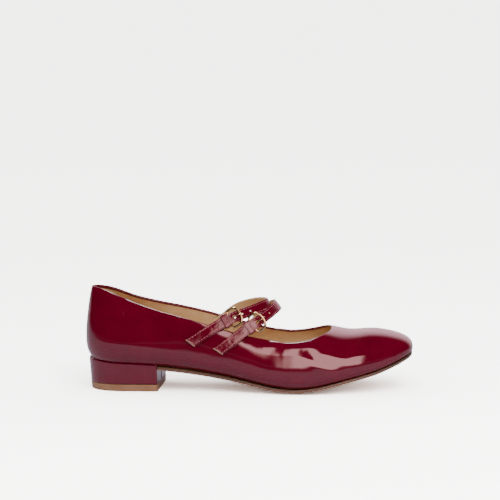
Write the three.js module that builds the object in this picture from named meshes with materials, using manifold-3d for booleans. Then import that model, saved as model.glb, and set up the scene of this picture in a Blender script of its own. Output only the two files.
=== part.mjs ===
// A right mary jane shoe with a low block heel and two buckled straps, in millimetres.
// x runs from the heel to the toe, y to the wearer's left (the inner side), z up.
// The upper is one hollow wall on the shape of a last. Sole, insole, heel and straps take
// their places from the same last, so a change of one size carries through all of them.
import * as THREE from 'three';
import { mergeVertices } from 'three/addons/utils/BufferGeometryUtils.js';
import Module from 'manifold-3d';

const wasm = await Module();
wasm.setup();

// Driving dimensions of the last and the upper
const LENGTH = 251; // heel back to toe tip
const BALL_WIDTH = 78; // across the joints of the toes
const SEAT_HEIGHT = 22; // floor to the underside of the upper over the heel
const TOE_SPRING = 24.2; // lift of the toe tip above the ball
const BACK_HEIGHT = 79; // floor to the top of the heel back
const BACK_TOP_AT = 4.7; // heel back to the top of the back, which leans in
const VAMP_CREST = 47.5; // floor to the ridge of the last over the ball
const VAMP_DIP = 3.0; // how far the vamp sinks in front of the throat
const DIP_AT = 203; // heel back to the lowest place of that dip
const DIP_LENGTH = 14;
const THROAT_AT = 189; // heel back to the front of the opening
const TOE_SWING = 4; // how far the toe turns to the inner side
const WALL = 1.6; // lining and patent together
const LASTING_MARGIN = 5; // turned in under the insole
const TREAD_CROWN = 2.4; // how far the middle of the forefoot lies below its edge
const TREAD_FLAT = 0.5; // how deep the flat spot is cut into the sole under the ball
const GAP = 0.3; // between pieces that touch
const SOLE_GAP = 0.58; // between the sole and the upper, whose curves have different facets
const MARGIN_GAP = 0.6; // between the lasting margin and the insole, for the same reason

// Bottom pieces
const SOLE_THICKNESS = 2.3;
const INSOLE_THICKNESS = 2.2;
const INSOLE_EASE = 1.4; // between the insole's rim and the lining
const HEEL_LENGTH = 54; // along the floor
const HEEL_WIDTH = 49; // along the floor, at the front of the heel
const HEEL_FLARE = 1.6; // how much wider each side is at the top than on the floor
const HEEL_SETBACK = 3.6; // heel back to the back of the block
const TOP_PIECE_THICKNESS = 5.4;
const TOP_PIECE_FLARE = 0.25; // share of the flare that the top piece has
const EDGE_ROUND = 0.7;

// Straps, tabs, keepers and buckles
const STRAP_WIDTH = 8;
const STRAP_THICKNESS = 1.6;
const TIP_SLANT = 1.5; // how far one corner of the cut end leads the other
const HOLE_RADIUS = 0.9;
const HOLE_PITCH = 7;
const PRONG_HOLE_RADIUS = 1.35;
const PRONG_HOLE_AT = -0.6; // from the middle of the buckle
const SPARE_HOLES = [-2, 1, 2]; // in pitches from the hole in use
const TAB_THICKNESS = 0.9;
const TAB_TAIL = 9; // sewn down inside the collar
const KEEPER_WIDTH = 3.6;
const KEEPER_THICKNESS = 0.9;
const BUCKLE_WIDTH = 15.2; // outside, across the strap
const BUCKLE_WIRE = 0.8; // radius
const BAR_BACK = 4.3; // buckle middle to its bar, along the strap
const BOW_FRONT = 4.2; // buckle middle to its bow, along the strap
const PRONG_RADIUS = 0.45;
const PRONG_SLACK = 1; // width of the tab's slot beyond the prong
const BAR_CLEARANCE = 0.2;
const BAR_SQUARENESS = 0.4; // low for a straight bar with tight corners, 1 for a round one

// Where the last's sections fan out round the heel and round the toe
const HEEL_PIVOT = 0.132 * LENGTH;
const BALL_PIVOT = 0.618 * LENGTH;
const HEEL_POWER = 2.25; // roundness of the heel in plan
const TOE_POWER = 2.75; // a soft square toe in plan
const BACK_POWER = 1.8; // roundness of the collar at the back, and where it runs into the sides
const BACK_POWER_BESIDE = 2.05;
const THROAT_POWER = 2.8;
const BACK_FULLNESS = 1.95; // power of the wall's curve at the heel back
const SIDE_FULLNESS = 1.6; // at the sides of the heel
const VAMP_FULLNESS = 2.8; // and over the vamp
const UNDERCURVE = 2.2; // power of the turn from wall to underside

// Steps of the faceted surfaces
const HEEL_STEPS = 7;
const SIDE_STEPS = 9;
const TOE_STEPS = 10;
const WALL_STEPS = 8;
const UNDER_STEPS = 4;
const SPREAD_STEPS = 4;
const STRAP_STEPS = 36;
const TAB_STEPS = 16;
const SPREAD_POWER = 0.8; // below 1, the steps from the spine to the edge get shorter

// Rows with named columns
function table(columns, rows) {
  return rows.map((row) => Object.fromEntries(columns.map((name, i) => [name, row[i]])));
}

// The last by sections. at: share of the length. outer, inner: half-widths, shares of the ball
// width, before heel and toe close. turnOut, turnIn: width of the turn under the wall, same
// share. lift: height of the widest line above the edge, share of the back height.
// show: share of the turn by which the sole stays inside the widest line. seat, spring: share of
// the heel's lift and of the toe spring that the edge has there.
const SECTIONS = table(
  ['at', 'outer', 'inner', 'turnOut', 'turnIn', 'lift', 'show', 'seat', 'spring'],
  [
    [0.00, 0.400, 0.400, 0.120, 0.120, 0.215, 0.42, 1.00, 0.000],
    [0.12, 0.402, 0.402, 0.120, 0.125, 0.205, 0.42, 0.97, 0.000],
    [0.24, 0.404, 0.398, 0.130, 0.155, 0.185, 0.42, 0.87, 0.000],
    [0.36, 0.420, 0.400, 0.135, 0.175, 0.165, 0.42, 0.68, 0.000],
    [0.48, 0.460, 0.435, 0.130, 0.160, 0.135, 0.42, 0.39, 0.000],
    [0.58, 0.494, 0.477, 0.120, 0.130, 0.114, 0.42, 0.09, 0.000],
    [0.65, 0.506, 0.500, 0.115, 0.115, 0.100, 0.42, 0.00, 0.000],
    [0.72, 0.508, 0.507, 0.108, 0.108, 0.088, 0.42, 0.00, 0.080],
    [0.80, 0.500, 0.510, 0.095, 0.095, 0.072, 0.42, 0.00, 0.287],
    [0.90, 0.480, 0.510, 0.080, 0.080, 0.042, 0.36, 0.00, 0.565],
    [1.00, 0.460, 0.500, 0.070, 0.070, 0.020, 0.08, 0.00, 1.000],
  ],
);

// The collar. at: share of the length. height: share of the back height. half: half-width of the
// opening, share of the ball width.
const COLLAR = [
  { at: 0.00, height: 1.002, half: 0.090 },
  { at: 0.06, height: 0.976, half: 0.130 },
  { at: 0.13, height: 0.897, half: 0.180 },
  { at: 0.20, height: 0.824, half: 0.258 },
  { at: 0.28, height: 0.759, half: 0.334 },
  { at: 0.38, height: 0.677, half: 0.370 },
  { at: 0.50, height: 0.572, half: 0.384 },
  { at: 0.62, height: 0.503, half: 0.394 },
];

// The straps, from the free end on the outer side to the sewn end on the inner side.
// at: share of the length. height: share of the back height. off: distance from the wall in mm.
// side: share of half the ball width, for the part in the air, whose second row is the middle of
// the buckle. core: what that part bends round.
const STRAPS = {
  rear: {
    outerEnd: [
      { at: 0.335, height: 0.494, off: 0.9 },
      { at: 0.375, height: 0.574, off: 0.7 },
      { at: 0.402, height: 0.625, off: 1.0 },
    ],
    over: [
      { at: 0.441, height: 0.700, side: -0.75 },
      { at: 0.469, height: 0.740, side: -0.68 },
      { at: 0.532, height: 0.799, side: -0.40 },
      { at: 0.564, height: 0.827, side: 0.00 },
      { at: 0.520, height: 0.802, side: 0.42 },
      { at: 0.458, height: 0.728, side: 0.645 },
    ],
    innerEnd: [
      { at: 0.412, height: 0.628, off: 1.2 },
      { at: 0.384, height: 0.548, off: 0.7 },
    ],
    core: { at: 0.42, height: 0.56 },
  },
  front: {
    outerEnd: [
      { at: 0.420, height: 0.418, off: 0.9 },
      { at: 0.456, height: 0.500, off: 0.7 },
      { at: 0.480, height: 0.555, off: 1.0 },
    ],
    over: [
      { at: 0.511, height: 0.640, side: -0.77 },
      { at: 0.538, height: 0.694, side: -0.70 },
      { at: 0.574, height: 0.768, side: -0.38 },
      { at: 0.590, height: 0.806, side: 0.00 },
      { at: 0.574, height: 0.783, side: 0.40 },
      { at: 0.540, height: 0.700, side: 0.66 },
    ],
    innerEnd: [
      { at: 0.502, height: 0.568, off: 1.4 },
      { at: 0.474, height: 0.490, off: 0.7 },
    ],
    core: { at: 0.46, height: 0.49 },
  },
};

// A smooth curve through the rows of a table: a natural cubic spline of one column
function spline(rows, name) {
  const n = rows.length;
  const bend = new Array(n).fill(0);
  const part = new Array(n).fill(0);
  for (let i = 1; i < n - 1; i++) {
    const before = rows[i].at - rows[i - 1].at;
    const after = rows[i + 1].at - rows[i].at;
    const pull = before * part[i - 1] + 2 * (before + after);
    const slope = (rows[i + 1][name] - rows[i][name]) / after - (rows[i][name] - rows[i - 1][name]) / before;
    part[i] = -after / pull;
    bend[i] = (6 * slope - before * bend[i - 1]) / pull;
  }
  for (let i = n - 2; i > 0; i--) bend[i] += part[i] * bend[i + 1];
  return (at) => {
    let i = 0;
    while (i < n - 2 && at > rows[i + 1].at) i++;
    const step = rows[i + 1].at - rows[i].at;
    const b = THREE.MathUtils.clamp((at - rows[i].at) / step, 0, 1);
    const a = 1 - b;
    return a * rows[i][name] + b * rows[i + 1][name]
      + ((a ** 3 - a) * bend[i] + (b ** 3 - b) * bend[i + 1]) * step * step / 6;
  };
}

const last = {};
for (const name of Object.keys(SECTIONS[0])) last[name] = spline(SECTIONS, name);
const collarHeight = spline(COLLAR, 'height');
const collarHalf = spline(COLLAR, 'half');

const BALL_EDGE = SOLE_THICKNESS + GAP + TREAD_CROWN - TREAD_FLAT;

// Height of the last's lower edge at x
function edgeHeight(x) {
  const at = x / LENGTH;
  return BALL_EDGE + last.seat(at) * (SEAT_HEIGHT - BALL_EDGE) + last.spring(at) * TOE_SPRING;
}

// Height of the last's underside, r from its spine where its edge is at rEdge
function undersideHeight(x, r, rEdge) {
  const flat = 1 - last.seat(x / LENGTH);
  return edgeHeight(x) - TREAD_CROWN * flat * (1 - Math.min(1, (r / rEdge) ** 2));
}

// How far the shape has closed towards the heel back or the toe tip, from 1 down to 0
function closing(x) {
  const share = x < HEEL_PIVOT ? (HEEL_PIVOT - x) / HEEL_PIVOT : (x - BALL_PIVOT) / (LENGTH - BALL_PIVOT);
  const power = x < HEEL_PIVOT ? HEEL_POWER : TOE_POWER;
  return Math.max(0, 1 - Math.max(0, share) ** power) ** (1 / power);
}

// The turn of the toe to the inner side
function swing(x) {
  const share = Math.max(0, x - HEEL_PIVOT) / (LENGTH - HEEL_PIVOT);
  return TOE_SWING * share * share;
}

// Finds where rising crosses zero between low and high
function crossing(low, high, rising) {
  for (let i = 0; i < 50; i++) {
    const middle = (low + high) / 2;
    if (rising(middle) < 0) low = middle;
    else high = middle;
  }
  return (low + high) / 2;
}

// A station is a half-plane of the last: it stands on the spine at x and looks along (dx, dy)
function station(x, dx, dy) {
  const side = dy < 0 ? 'outer' : 'inner';
  const halfWidth = (px) => BALL_WIDTH * last[side](px / LENGTH) * closing(px);
  const widest = crossing(0, LENGTH, (r) => r * Math.abs(dy) - halfWidth(x + r * dx));
  const edgeX = x + widest * dx;
  const at = edgeX / LENGTH;
  const turn = BALL_WIDTH * last[dy < 0 ? 'turnOut' : 'turnIn'](at);
  const share = THREE.MathUtils.clamp((BALL_PIVOT - x) / (BALL_PIVOT - HEEL_PIVOT), 0, 1);
  const roundBack = dx < 0 ? dx * dx * (BACK_FULLNESS - SIDE_FULLNESS) : 0;
  const s = {
    x, dx, dy, side, widest, turn,
    lift: BACK_HEIGHT * last.lift(at),
    widestHeight: edgeHeight(edgeX) + BACK_HEIGHT * last.lift(at),
    fullness: THREE.MathUtils.lerp(VAMP_FULLNESS, SIDE_FULLNESS, share) + roundBack,
    edge: widest - last.show(at) * turn,
  };
  s.crest = THREE.MathUtils.lerp(VAMP_CREST, crestOver(s), THREE.MathUtils.smoothstep(share, 0, 0.3));
  return s;
}

// Height of the ridge for which a station's wall passes through the collar
function crestOver(s) {
  const half = BALL_WIDTH * collarHalf(s.x / LENGTH);
  const power = BACK_POWER + (BACK_POWER_BESIDE - BACK_POWER) * s.dy ** 4;
  const r = ovalReach(s, HEEL_PIVOT - BACK_TOP_AT, half, power);
  const z = BACK_HEIGHT * collarHeight((s.x + r * s.dx) / LENGTH);
  const rise = (1 - (r / s.widest) ** s.fullness) ** (1 / s.fullness);
  return s.widestHeight + (z - s.widestHeight) / rise;
}

// How far a station runs to a superellipse round its spine point
function ovalReach(s, ahead, half, power) {
  return ((Math.abs(s.dx) / ahead) ** power + (Math.abs(s.dy) / half) ** power) ** (-1 / power);
}

// The point of a station r from the spine, at height z
function place(s, r, z) {
  const x = s.x + r * s.dx;
  return new THREE.Vector3(x, r * s.dy + swing(x), z);
}

// The wall above the widest line: a superellipse from there to the crest, less the vamp's dip
function wallAt(s, angle) {
  const r = s.widest * Math.max(0, Math.cos(angle)) ** (2 / s.fullness);
  const rise = Math.max(0, Math.sin(angle)) ** (2 / s.fullness);
  const dip = VAMP_DIP * Math.exp(-(((s.x + r * s.dx - DIP_AT) / DIP_LENGTH) ** 2));
  return place(s, r, s.widestHeight + (s.crest - s.widestHeight - dip) * rise);
}

// The same wall at a given height, on the straight stretch between heel and ball
function wallPoint(x, z, side, out) {
  const point = (px, pz) => {
    const s = station(px, 0, side === 'outer' ? -1 : 1);
    const rise = (pz - s.widestHeight) / (s.crest - s.widestHeight);
    const under = rise < 0 ? (s.widestHeight - pz) / s.lift : 0;
    const r = rise > 0
      ? s.widest * (1 - rise ** s.fullness) ** (1 / s.fullness)
      : s.widest - s.turn * (1 - (1 - under ** UNDERCURVE) ** (1 / UNDERCURVE));
    return place(s, r, pz);
  };
  const step = 0.5;
  const along = point(x + step, z).sub(point(x - step, z));
  const up = point(x, z + step).sub(point(x, z - step));
  const normal = side === 'outer' ? along.cross(up) : up.cross(along);
  normal.normalize();
  return { point: point(x, z).addScaledVector(normal, out), normal };
}

// Stations from a list of angles round a pivot, even along the outline
function fan(x, ahead, steps, sign, from, to) {
  const list = [];
  const reach = ahead > 0 ? LENGTH - x : x;
  const half = BALL_WIDTH * last[sign < 0 ? 'outer' : 'inner'](x / LENGTH);
  for (let i = from; i <= to; i++) {
    const angle = (Math.PI / 2) * (i / steps);
    const d = new THREE.Vector2(ahead * reach * Math.cos(angle), sign * half * Math.sin(angle)).normalize();
    list.push(station(x, d.x, Math.abs(d.y) < 1e-9 ? sign * 1e-12 : d.y));
  }
  return list;
}

// Straight stations between two places on the spine, ends left out
function straight(from, to, steps, sign) {
  const list = [];
  for (let i = 1; i < steps; i++) list.push(station(THREE.MathUtils.lerp(from, to, i / steps), 0, sign));
  return list;
}

// Stations forward along the outer side from the front of the heel, round the toe and back on
// the inner side
function forepart() {
  const start = HEEL_FRONT + GAP;
  return [
    station(start, 0, -1), ...straight(start, BALL_PIVOT, SIDE_STEPS, -1),
    ...fan(BALL_PIVOT, 1, TOE_STEPS, -1, 0, TOE_STEPS).reverse(),
    ...fan(BALL_PIVOT, 1, TOE_STEPS, 1, 1, TOE_STEPS),
    ...straight(BALL_PIVOT, start, SIDE_STEPS, 1), station(start, 0, 1),
  ];
}

// Stations from the inner side round the heel back to the outer side, ends left out
function heelRound() {
  return [
    ...fan(HEEL_PIVOT, -1, HEEL_STEPS, 1, 0, HEEL_STEPS - 1).reverse(),
    ...fan(HEEL_PIVOT, -1, HEEL_STEPS, -1, 1, HEEL_STEPS - 1),
  ];
}

// Angle of the wall where the collar cuts a station
function collarAngle(s) {
  if (s.dx > 0) {
    const side = station(BALL_PIVOT, 0, Math.sign(s.dy));
    const half = side.widest * Math.cos(collarAngle(side)) ** (2 / side.fullness);
    const r = ovalReach(s, THROAT_AT - BALL_PIVOT, half, THROAT_POWER);
    return Math.acos((r / s.widest) ** (s.fullness / 2));
  }
  return crossing(0, Math.PI / 2, (angle) => {
    const p = wallAt(s, angle);
    return p.z - BACK_HEIGHT * collarHeight(p.x / LENGTH);
  });
}

// A closed mesh from rings of points. around: each ring closes on itself. loop: the last ring
// meets the first. Open rows get a flat cap at both ends.
function skin(rings, { around = true, loop = false } = {}) {
  const count = rings[0].length;
  const positions = rings.flat().flatMap((p) => p.toArray());
  const index = [];
  const ringSteps = loop ? rings.length : rings.length - 1;
  const pointSteps = around ? count : count - 1;
  for (let i = 0; i < ringSteps; i++) {
    for (let j = 0; j < pointSteps; j++) {
      const a = i * count + j;
      const b = i * count + ((j + 1) % count);
      const c = ((i + 1) % rings.length) * count + j;
      const d = ((i + 1) % rings.length) * count + ((j + 1) % count);
      index.push(a, b, d, a, d, c);
    }
  }
  if (!loop) {
    index.push(...cap(rings[0], 0).reverse());
    index.push(...cap(rings[rings.length - 1], (rings.length - 1) * count));
  }
  return weld(positions, index);
}

// Triangles that close a flat ring
function cap(ring, first) {
  const centre = ring.reduce((sum, p) => sum.add(p), new THREE.Vector3()).divideScalar(ring.length);
  const normal = new THREE.Vector3();
  ring.forEach((p, i) => {
    const next = ring[(i + 1) % ring.length];
    normal.add(p.clone().sub(centre).cross(next.clone().sub(centre)));
  });
  const turn = new THREE.Quaternion().setFromUnitVectors(normal.normalize(), new THREE.Vector3(0, 0, 1));
  const flat = ring.map((p) => {
    const q = p.clone().sub(centre).applyQuaternion(turn);
    return new THREE.Vector2(q.x, q.y);
  });
  return THREE.ShapeUtils.triangulateShape(flat, []).flat().map((i) => first + i);
}

// Joins equal points, drops triangles with no area and turns the faces outwards
function weld(positions, index) {
  const raw = new THREE.BufferGeometry();
  raw.setAttribute('position', new THREE.Float32BufferAttribute(positions, 3));
  raw.setIndex(index);
  const merged = mergeVertices(raw, 1e-4);
  const p = merged.getAttribute('position');
  const ids = merged.getIndex().array;
  const kept = [];
  for (let i = 0; i < ids.length; i += 3) {
    const [a, b, c] = [ids[i], ids[i + 1], ids[i + 2]];
    if (a !== b && b !== c && c !== a) kept.push([a, b, c]);
  }
  const [va, vb, vc] = [new THREE.Vector3(), new THREE.Vector3(), new THREE.Vector3()];
  const volume = kept.reduce((sum, [a, b, c]) => {
    va.fromBufferAttribute(p, a);
    vb.fromBufferAttribute(p, b);
    vc.fromBufferAttribute(p, c);
    return sum + va.dot(vb.cross(vc));
  }, 0);
  merged.setIndex(kept.flatMap(([a, b, c]) => (volume < 0 ? [a, c, b] : [a, b, c])));
  return merged;
}

// From a closed geometry to a solid for joining and cutting, and back
function solid(geometry) {
  const bare = geometry.clone();
  bare.deleteAttribute('normal');
  bare.deleteAttribute('uv');
  const merged = mergeVertices(bare, 1e-4);
  return new wasm.Manifold(new wasm.Mesh({
    numProp: 3,
    vertProperties: new Float32Array(merged.getAttribute('position').array),
    triVerts: new Uint32Array(merged.getIndex().array),
  }));
}

function geometryOf(shape) {
  const mesh = shape.getMesh();
  const geometry = new THREE.BufferGeometry();
  geometry.setAttribute('position', new THREE.BufferAttribute(mesh.vertProperties, 3));
  geometry.setIndex(new THREE.BufferAttribute(mesh.triVerts, 1));
  return geometry;
}

// One station's line on the outside of the upper: lasting margin, turn under, wall
function outerLine(s) {
  const line = [];
  const turnStart = s.widest - s.turn;
  const low = (r, climb) => {
    const x = s.x + r * s.dx;
    return place(s, r, undersideHeight(x, r, s.edge) + climb);
  };
  line.push(low(turnStart - LASTING_MARGIN, 0));
  for (let i = 0; i < UNDER_STEPS; i++) {
    const angle = (Math.PI / 2) * (i / UNDER_STEPS);
    const r = turnStart + s.turn * Math.sin(angle) ** (2 / UNDERCURVE);
    line.push(low(r, s.lift * (1 - Math.cos(angle) ** (2 / UNDERCURVE))));
  }
  const top = collarAngle(s);
  for (let i = 0; i <= WALL_STEPS; i++) line.push(wallAt(s, top * (i / WALL_STEPS)));
  return line;
}

// Points a wall's thickness inside a closed band of lines
function inside(lines, depth) {
  const count = lines.length;
  return lines.map((line, i) => line.map((p, j) => {
    const along = lines[(i + 1) % count][j].clone().sub(lines[(i + count - 1) % count][j]);
    const up = line[Math.min(j + 1, line.length - 1)].clone().sub(line[Math.max(j - 1, 0)]);
    return p.clone().addScaledVector(along.cross(up).normalize(), -depth);
  }));
}

const HEEL_FRONT = HEEL_SETBACK + HEEL_LENGTH;

// Stations from the front of the heel back to the pivot, on one side
function waist(sign) {
  return [station(HEEL_PIVOT, 0, sign), ...straight(HEEL_PIVOT, HEEL_FRONT + GAP, 3, sign)];
}

const shoeStations = [...waist(-1), ...forepart(), ...waist(1).reverse(), ...heelRound()];
const outside = shoeStations.map(outerLine);
const lining = inside(outside, WALL);

function upper() {
  return skin(outside.map((line, i) => [...line, ...[...lining[i]].reverse()]), { loop: true });
}

// Shares of the way from the spine to the edge
const SPREAD = Array.from({ length: SPREAD_STEPS + 1 }, (_, i) => (i / SPREAD_STEPS) ** SPREAD_POWER);

// A plate on the last's underside: rows from the spine's top to the edge and back along the bottom
function plateRow(s, edge, topZ, bottomZ, rim) {
  const row = [];
  for (let i = 0; i < SPREAD_STEPS; i++) {
    const r = edge * SPREAD[i];
    row.push(place(s, r, topZ(s.x + r * s.dx, r)));
  }
  row.push(...rim);
  for (let i = SPREAD_STEPS - 1; i >= 0; i--) {
    const r = edge * SPREAD[i];
    row.push(place(s, r, bottomZ(s.x + r * s.dx, r)));
  }
  return row;
}

// The insole rests on the lasting margin, and its middle fills the space inside that margin
function insole() {
  const marginTop = WALL + MARGIN_GAP;
  const rows = shoeStations.map((s, i) => {
    const fillerEdge = s.widest - s.turn - LASTING_MARGIN - INSOLE_EASE;
    const height = (x, r, climb) => undersideHeight(x, r, s.edge) + climb;
    const rimAt = (climb) => {
      const reach = crossing(0, s.widest, (r) => r - liningReach(i, height(s.x + r * s.dx, r, climb)));
      const r = reach - INSOLE_EASE;
      return place(s, r, height(s.x + r * s.dx, r, climb));
    };
    const at = (r, climb) => place(s, r, height(s.x + r * s.dx, r, climb));
    return [
      ...SPREAD.map((share) => at(fillerEdge * share, marginTop + INSOLE_THICKNESS)),
      rimAt(marginTop + INSOLE_THICKNESS), rimAt(marginTop), at(fillerEdge, marginTop),
      ...[...SPREAD].reverse().map((share) => at(fillerEdge * share, GAP / 2)),
    ];
  });
  return skin(rows, { around: false, loop: true });
}

// How far the lining is from the spine, along a station, at height z
function liningReach(i, z) {
  const s = shoeStations[i];
  const line = lining[i];
  for (let j = 1; j < line.length - 1; j++) {
    if (line[j + 1].z > z) {
      const share = THREE.MathUtils.clamp((z - line[j].z) / (line[j + 1].z - line[j].z), 0, 1);
      const p = line[j].clone().lerp(line[j + 1], share);
      return (p.x - s.x) * s.dx + (p.y - swing(p.x)) * s.dy;
    }
  }
  return 0;
}

// The outsole runs from the front of the heel to the toe, with a flat spot under the ball
function outsole() {
  const rows = forepart().map((s) => {
    const top = (x, r) => undersideHeight(x, r, s.edge) - SOLE_GAP;
    const bottom = (x, r) => Math.max(0, top(x, r) - SOLE_THICKNESS);
    const rim = [
      [s.edge - EDGE_ROUND, 0, top], [s.edge, -EDGE_ROUND, top],
      [s.edge, EDGE_ROUND, bottom], [s.edge - EDGE_ROUND, 0, bottom],
    ].map(([r, climb, height]) => place(s, r, height(s.x + r * s.dx, r) + climb));
    return plateRow(s, s.edge - EDGE_ROUND, top, bottom, rim);
  });
  return skin(rows, { around: false });
}

// Plan of the heel block: half-width at x, where grow is 0 on the floor and 1 at the seat
function heelReach(s, grow) {
  const back = HEEL_PIVOT - HEEL_SETBACK + HEEL_FLARE * grow;
  const half = HEEL_WIDTH / 2 + HEEL_FLARE * grow;
  return s.dx === 0 ? half : ovalReach(s, back, half, HEEL_POWER);
}

function heelStations() {
  return [
    station(HEEL_FRONT, 0, 1), ...straight(HEEL_FRONT, HEEL_PIVOT, 3, 1), station(HEEL_PIVOT, 0, 1),
    ...heelRound(), station(HEEL_PIVOT, 0, -1), ...straight(HEEL_PIVOT, HEEL_FRONT, 3, -1),
    station(HEEL_FRONT, 0, -1),
  ];
}

function heelPlate(topOf, low, growLow) {
  const rows = heelStations().map((s) => {
    const side = (grow, inset, z) => {
      const r = heelReach(s, grow) - inset;
      return place(s, r, z ?? topOf(s, s.x + r * s.dx, r));
    };
    const topR = heelReach(s, 1) - EDGE_ROUND;
    const rim = [side(1, EDGE_ROUND), side(1, 0)];
    rim[1].z -= EDGE_ROUND;
    rim.push(side(growLow, 0, low));
    const flatEdge = Math.min(topR, heelReach(s, growLow)) - GAP;
    return plateRow(s, flatEdge, (x, r) => topOf(s, x, r), () => low, rim);
  });
  return skin(rows, { around: false });
}

function heel() {
  const seat = (s, x, r) => undersideHeight(x, Math.min(r, s.edge), s.edge) - GAP;
  return heelPlate(seat, TOP_PIECE_THICKNESS + GAP, TOP_PIECE_FLARE);
}

function topPiece() {
  const rows = heelStations().map((s) => {
    const r = heelReach(s, TOP_PIECE_FLARE);
    const foot = heelReach(s, 0);
    const flatEdge = foot - EDGE_ROUND;
    const rim = [place(s, r, TOP_PIECE_THICKNESS), place(s, foot, EDGE_ROUND), place(s, flatEdge, 0)];
    return plateRow(s, flatEdge, () => TOP_PIECE_THICKNESS, () => 0, rim);
  });
  return skin(rows, { around: false });
}

// The line of a strap: its middle, and the way its face looks, at each step from the buckle
function strapLine({ outerEnd, over, innerEnd, core }) {
  const half = STRAP_THICKNESS / 2;
  const sewn = (r, side, out) => wallPoint(r.at * LENGTH, r.height * BACK_HEIGHT, side, out);
  const onWall = outerEnd.map((r) => sewn(r, 'outer', r.off + half));
  const inWall = innerEnd.map((r) => sewn(r, 'inner', -WALL - r.off - half));
  const middle = new THREE.Vector3(core.at * LENGTH, 0, core.height * BACK_HEIGHT);
  const inAir = over.map((r) => {
    const point = new THREE.Vector3(r.at * LENGTH, r.side * BALL_WIDTH / 2, r.height * BACK_HEIGHT);
    return { point, normal: point.clone().sub(middle).normalize() };
  });
  const all = [...onWall, ...inAir, ...inWall];
  const path = new THREE.CatmullRomCurve3(all.map((a) => a.point), false, 'centripetal');
  const face = new THREE.CatmullRomCurve3(all.map((a) => a.normal), false, 'centripetal');
  path.arcLengthDivisions = 400;
  const total = path.getLength();
  const buckleT = (onWall.length + 1) / (all.length - 1);
  const lengths = path.getLengths();
  const buckleAt = lengths[Math.round(buckleT * (lengths.length - 1))];
  // s: distance along the strap from the middle of the buckle, towards the inner side
  const frame = (s) => {
    const t = path.getUtoTmapping(0, THREE.MathUtils.clamp(buckleAt + s, 1e-6, total - 1e-6));
    const p = path.getPoint(t);
    const along = path.getTangent(t);
    const normal = face.getPoint(t);
    normal.addScaledVector(along, -normal.dot(along)).normalize();
    return { p, along, normal, across: normal.clone().cross(along) };
  };
  return { frame, start: -buckleAt, end: total - buckleAt };
}

// A point beside the strap's line: up along its face, wide across it
function beside(f, up, wide, ahead = 0) {
  return f.p.clone()
    .addScaledVector(f.normal, up).addScaledVector(f.across, wide).addScaledVector(f.along, ahead);
}

// A flat band along a strap's line. depth(s) is its middle's distance from the strap's own
function band(line, from, to, steps, thickness, depth, slant = 0) {
  const [h, w, c] = [thickness / 2, STRAP_WIDTH / 2, thickness / 4];
  const corners = [
    [h, w - c], [h - c, w], [c - h, w], [-h, w - c],
    [-h, c - w], [c - h, -w], [h - c, -w], [h, c - w],
  ];
  const rings = [];
  for (let i = 0; i <= steps; i++) {
    const s = THREE.MathUtils.lerp(from, to, i / steps);
    const f = line.frame(s);
    const lead = i === 0 ? slant / w : 0;
    rings.push(corners.map(([up, wide]) => beside(f, up + depth(s), wide, wide * lead)));
  }
  return skin(rings);
}

function axes(x, y, z, origin) {
  return new THREE.Matrix4().makeBasis(x, y, z).setPosition(origin);
}

// A round cutter through the strap at s
function punch(line, s, radius) {
  const hole = new THREE.CylinderGeometry(radius, radius, STRAP_THICKNESS * 3, 12);
  const f = line.frame(s);
  return solid(hole.applyMatrix4(axes(f.across, f.normal, f.along, f.p)));
}

function strap(line) {
  let shape = solid(band(line, line.start, line.end, STRAP_STEPS, STRAP_THICKNESS, () => 0, -TIP_SLANT));
  shape = shape.subtract(punch(line, PRONG_HOLE_AT, PRONG_HOLE_RADIUS));
  for (const k of SPARE_HOLES) {
    shape = shape.subtract(punch(line, PRONG_HOLE_AT + k * HOLE_PITCH, HOLE_RADIUS));
  }
  return geometryOf(shape);
}

// The buckle hangs on its bar under the strap, and its bow lies over the strap
const SLEEVE_RADIUS = BUCKLE_WIRE + BAR_CLEARANCE + TAB_THICKNESS;
const BAR_DEPTH = -(STRAP_THICKNESS / 2 + GAP + SLEEVE_RADIUS);
const BOW_LIFT = STRAP_THICKNESS / 2 + 3 * GAP + BUCKLE_WIRE;

function buckleFrame(line) {
  const bar = beside(line.frame(-BAR_BACK), BAR_DEPTH, 0);
  const bow = beside(line.frame(BOW_FRONT), BOW_LIFT, 0);
  const ahead = bow.clone().sub(bar);
  const reach = ahead.length();
  ahead.normalize();
  const across = line.frame(0).across.clone();
  across.addScaledVector(ahead, -across.dot(ahead)).normalize();
  return { bar, ahead, across, up: ahead.clone().cross(across), reach };
}

// A D of round wire: straight along the bar, round at the bow
function buckle(line) {
  const b = buckleFrame(line);
  const half = BUCKLE_WIDTH / 2 - BUCKLE_WIRE;
  const steps = 32;
  const centre = [];
  for (let i = 0; i < steps; i++) {
    const angle = (2 * Math.PI * (i + 0.5)) / steps;
    const [c, s] = [Math.cos(angle), Math.sin(angle)];
    const power = c < 0 ? BAR_SQUARENESS : 1;
    const ahead = (b.reach / 2) * (1 + Math.sign(c) * Math.abs(c) ** power);
    const aside = half * Math.sign(s) * Math.abs(s) ** power;
    centre.push(b.bar.clone().addScaledVector(b.ahead, ahead).addScaledVector(b.across, aside));
  }
  const rings = centre.map((p, i) => {
    const along = centre[(i + 1) % steps].clone().sub(centre[(i + steps - 1) % steps]).normalize();
    const out = along.clone().cross(b.up).normalize();
    return wireRing(p, out, b.up, BUCKLE_WIRE, 8);
  });
  return skin(rings, { loop: true });
}

function wireRing(p, out, up, radius, sides) {
  return Array.from({ length: sides }, (_, k) => {
    const angle = (2 * Math.PI * (k + 0.5)) / sides;
    const [aside, above] = [radius * Math.cos(angle), radius * Math.sin(angle)];
    return p.clone().addScaledVector(out, aside).addScaledVector(up, above);
  });
}

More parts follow.
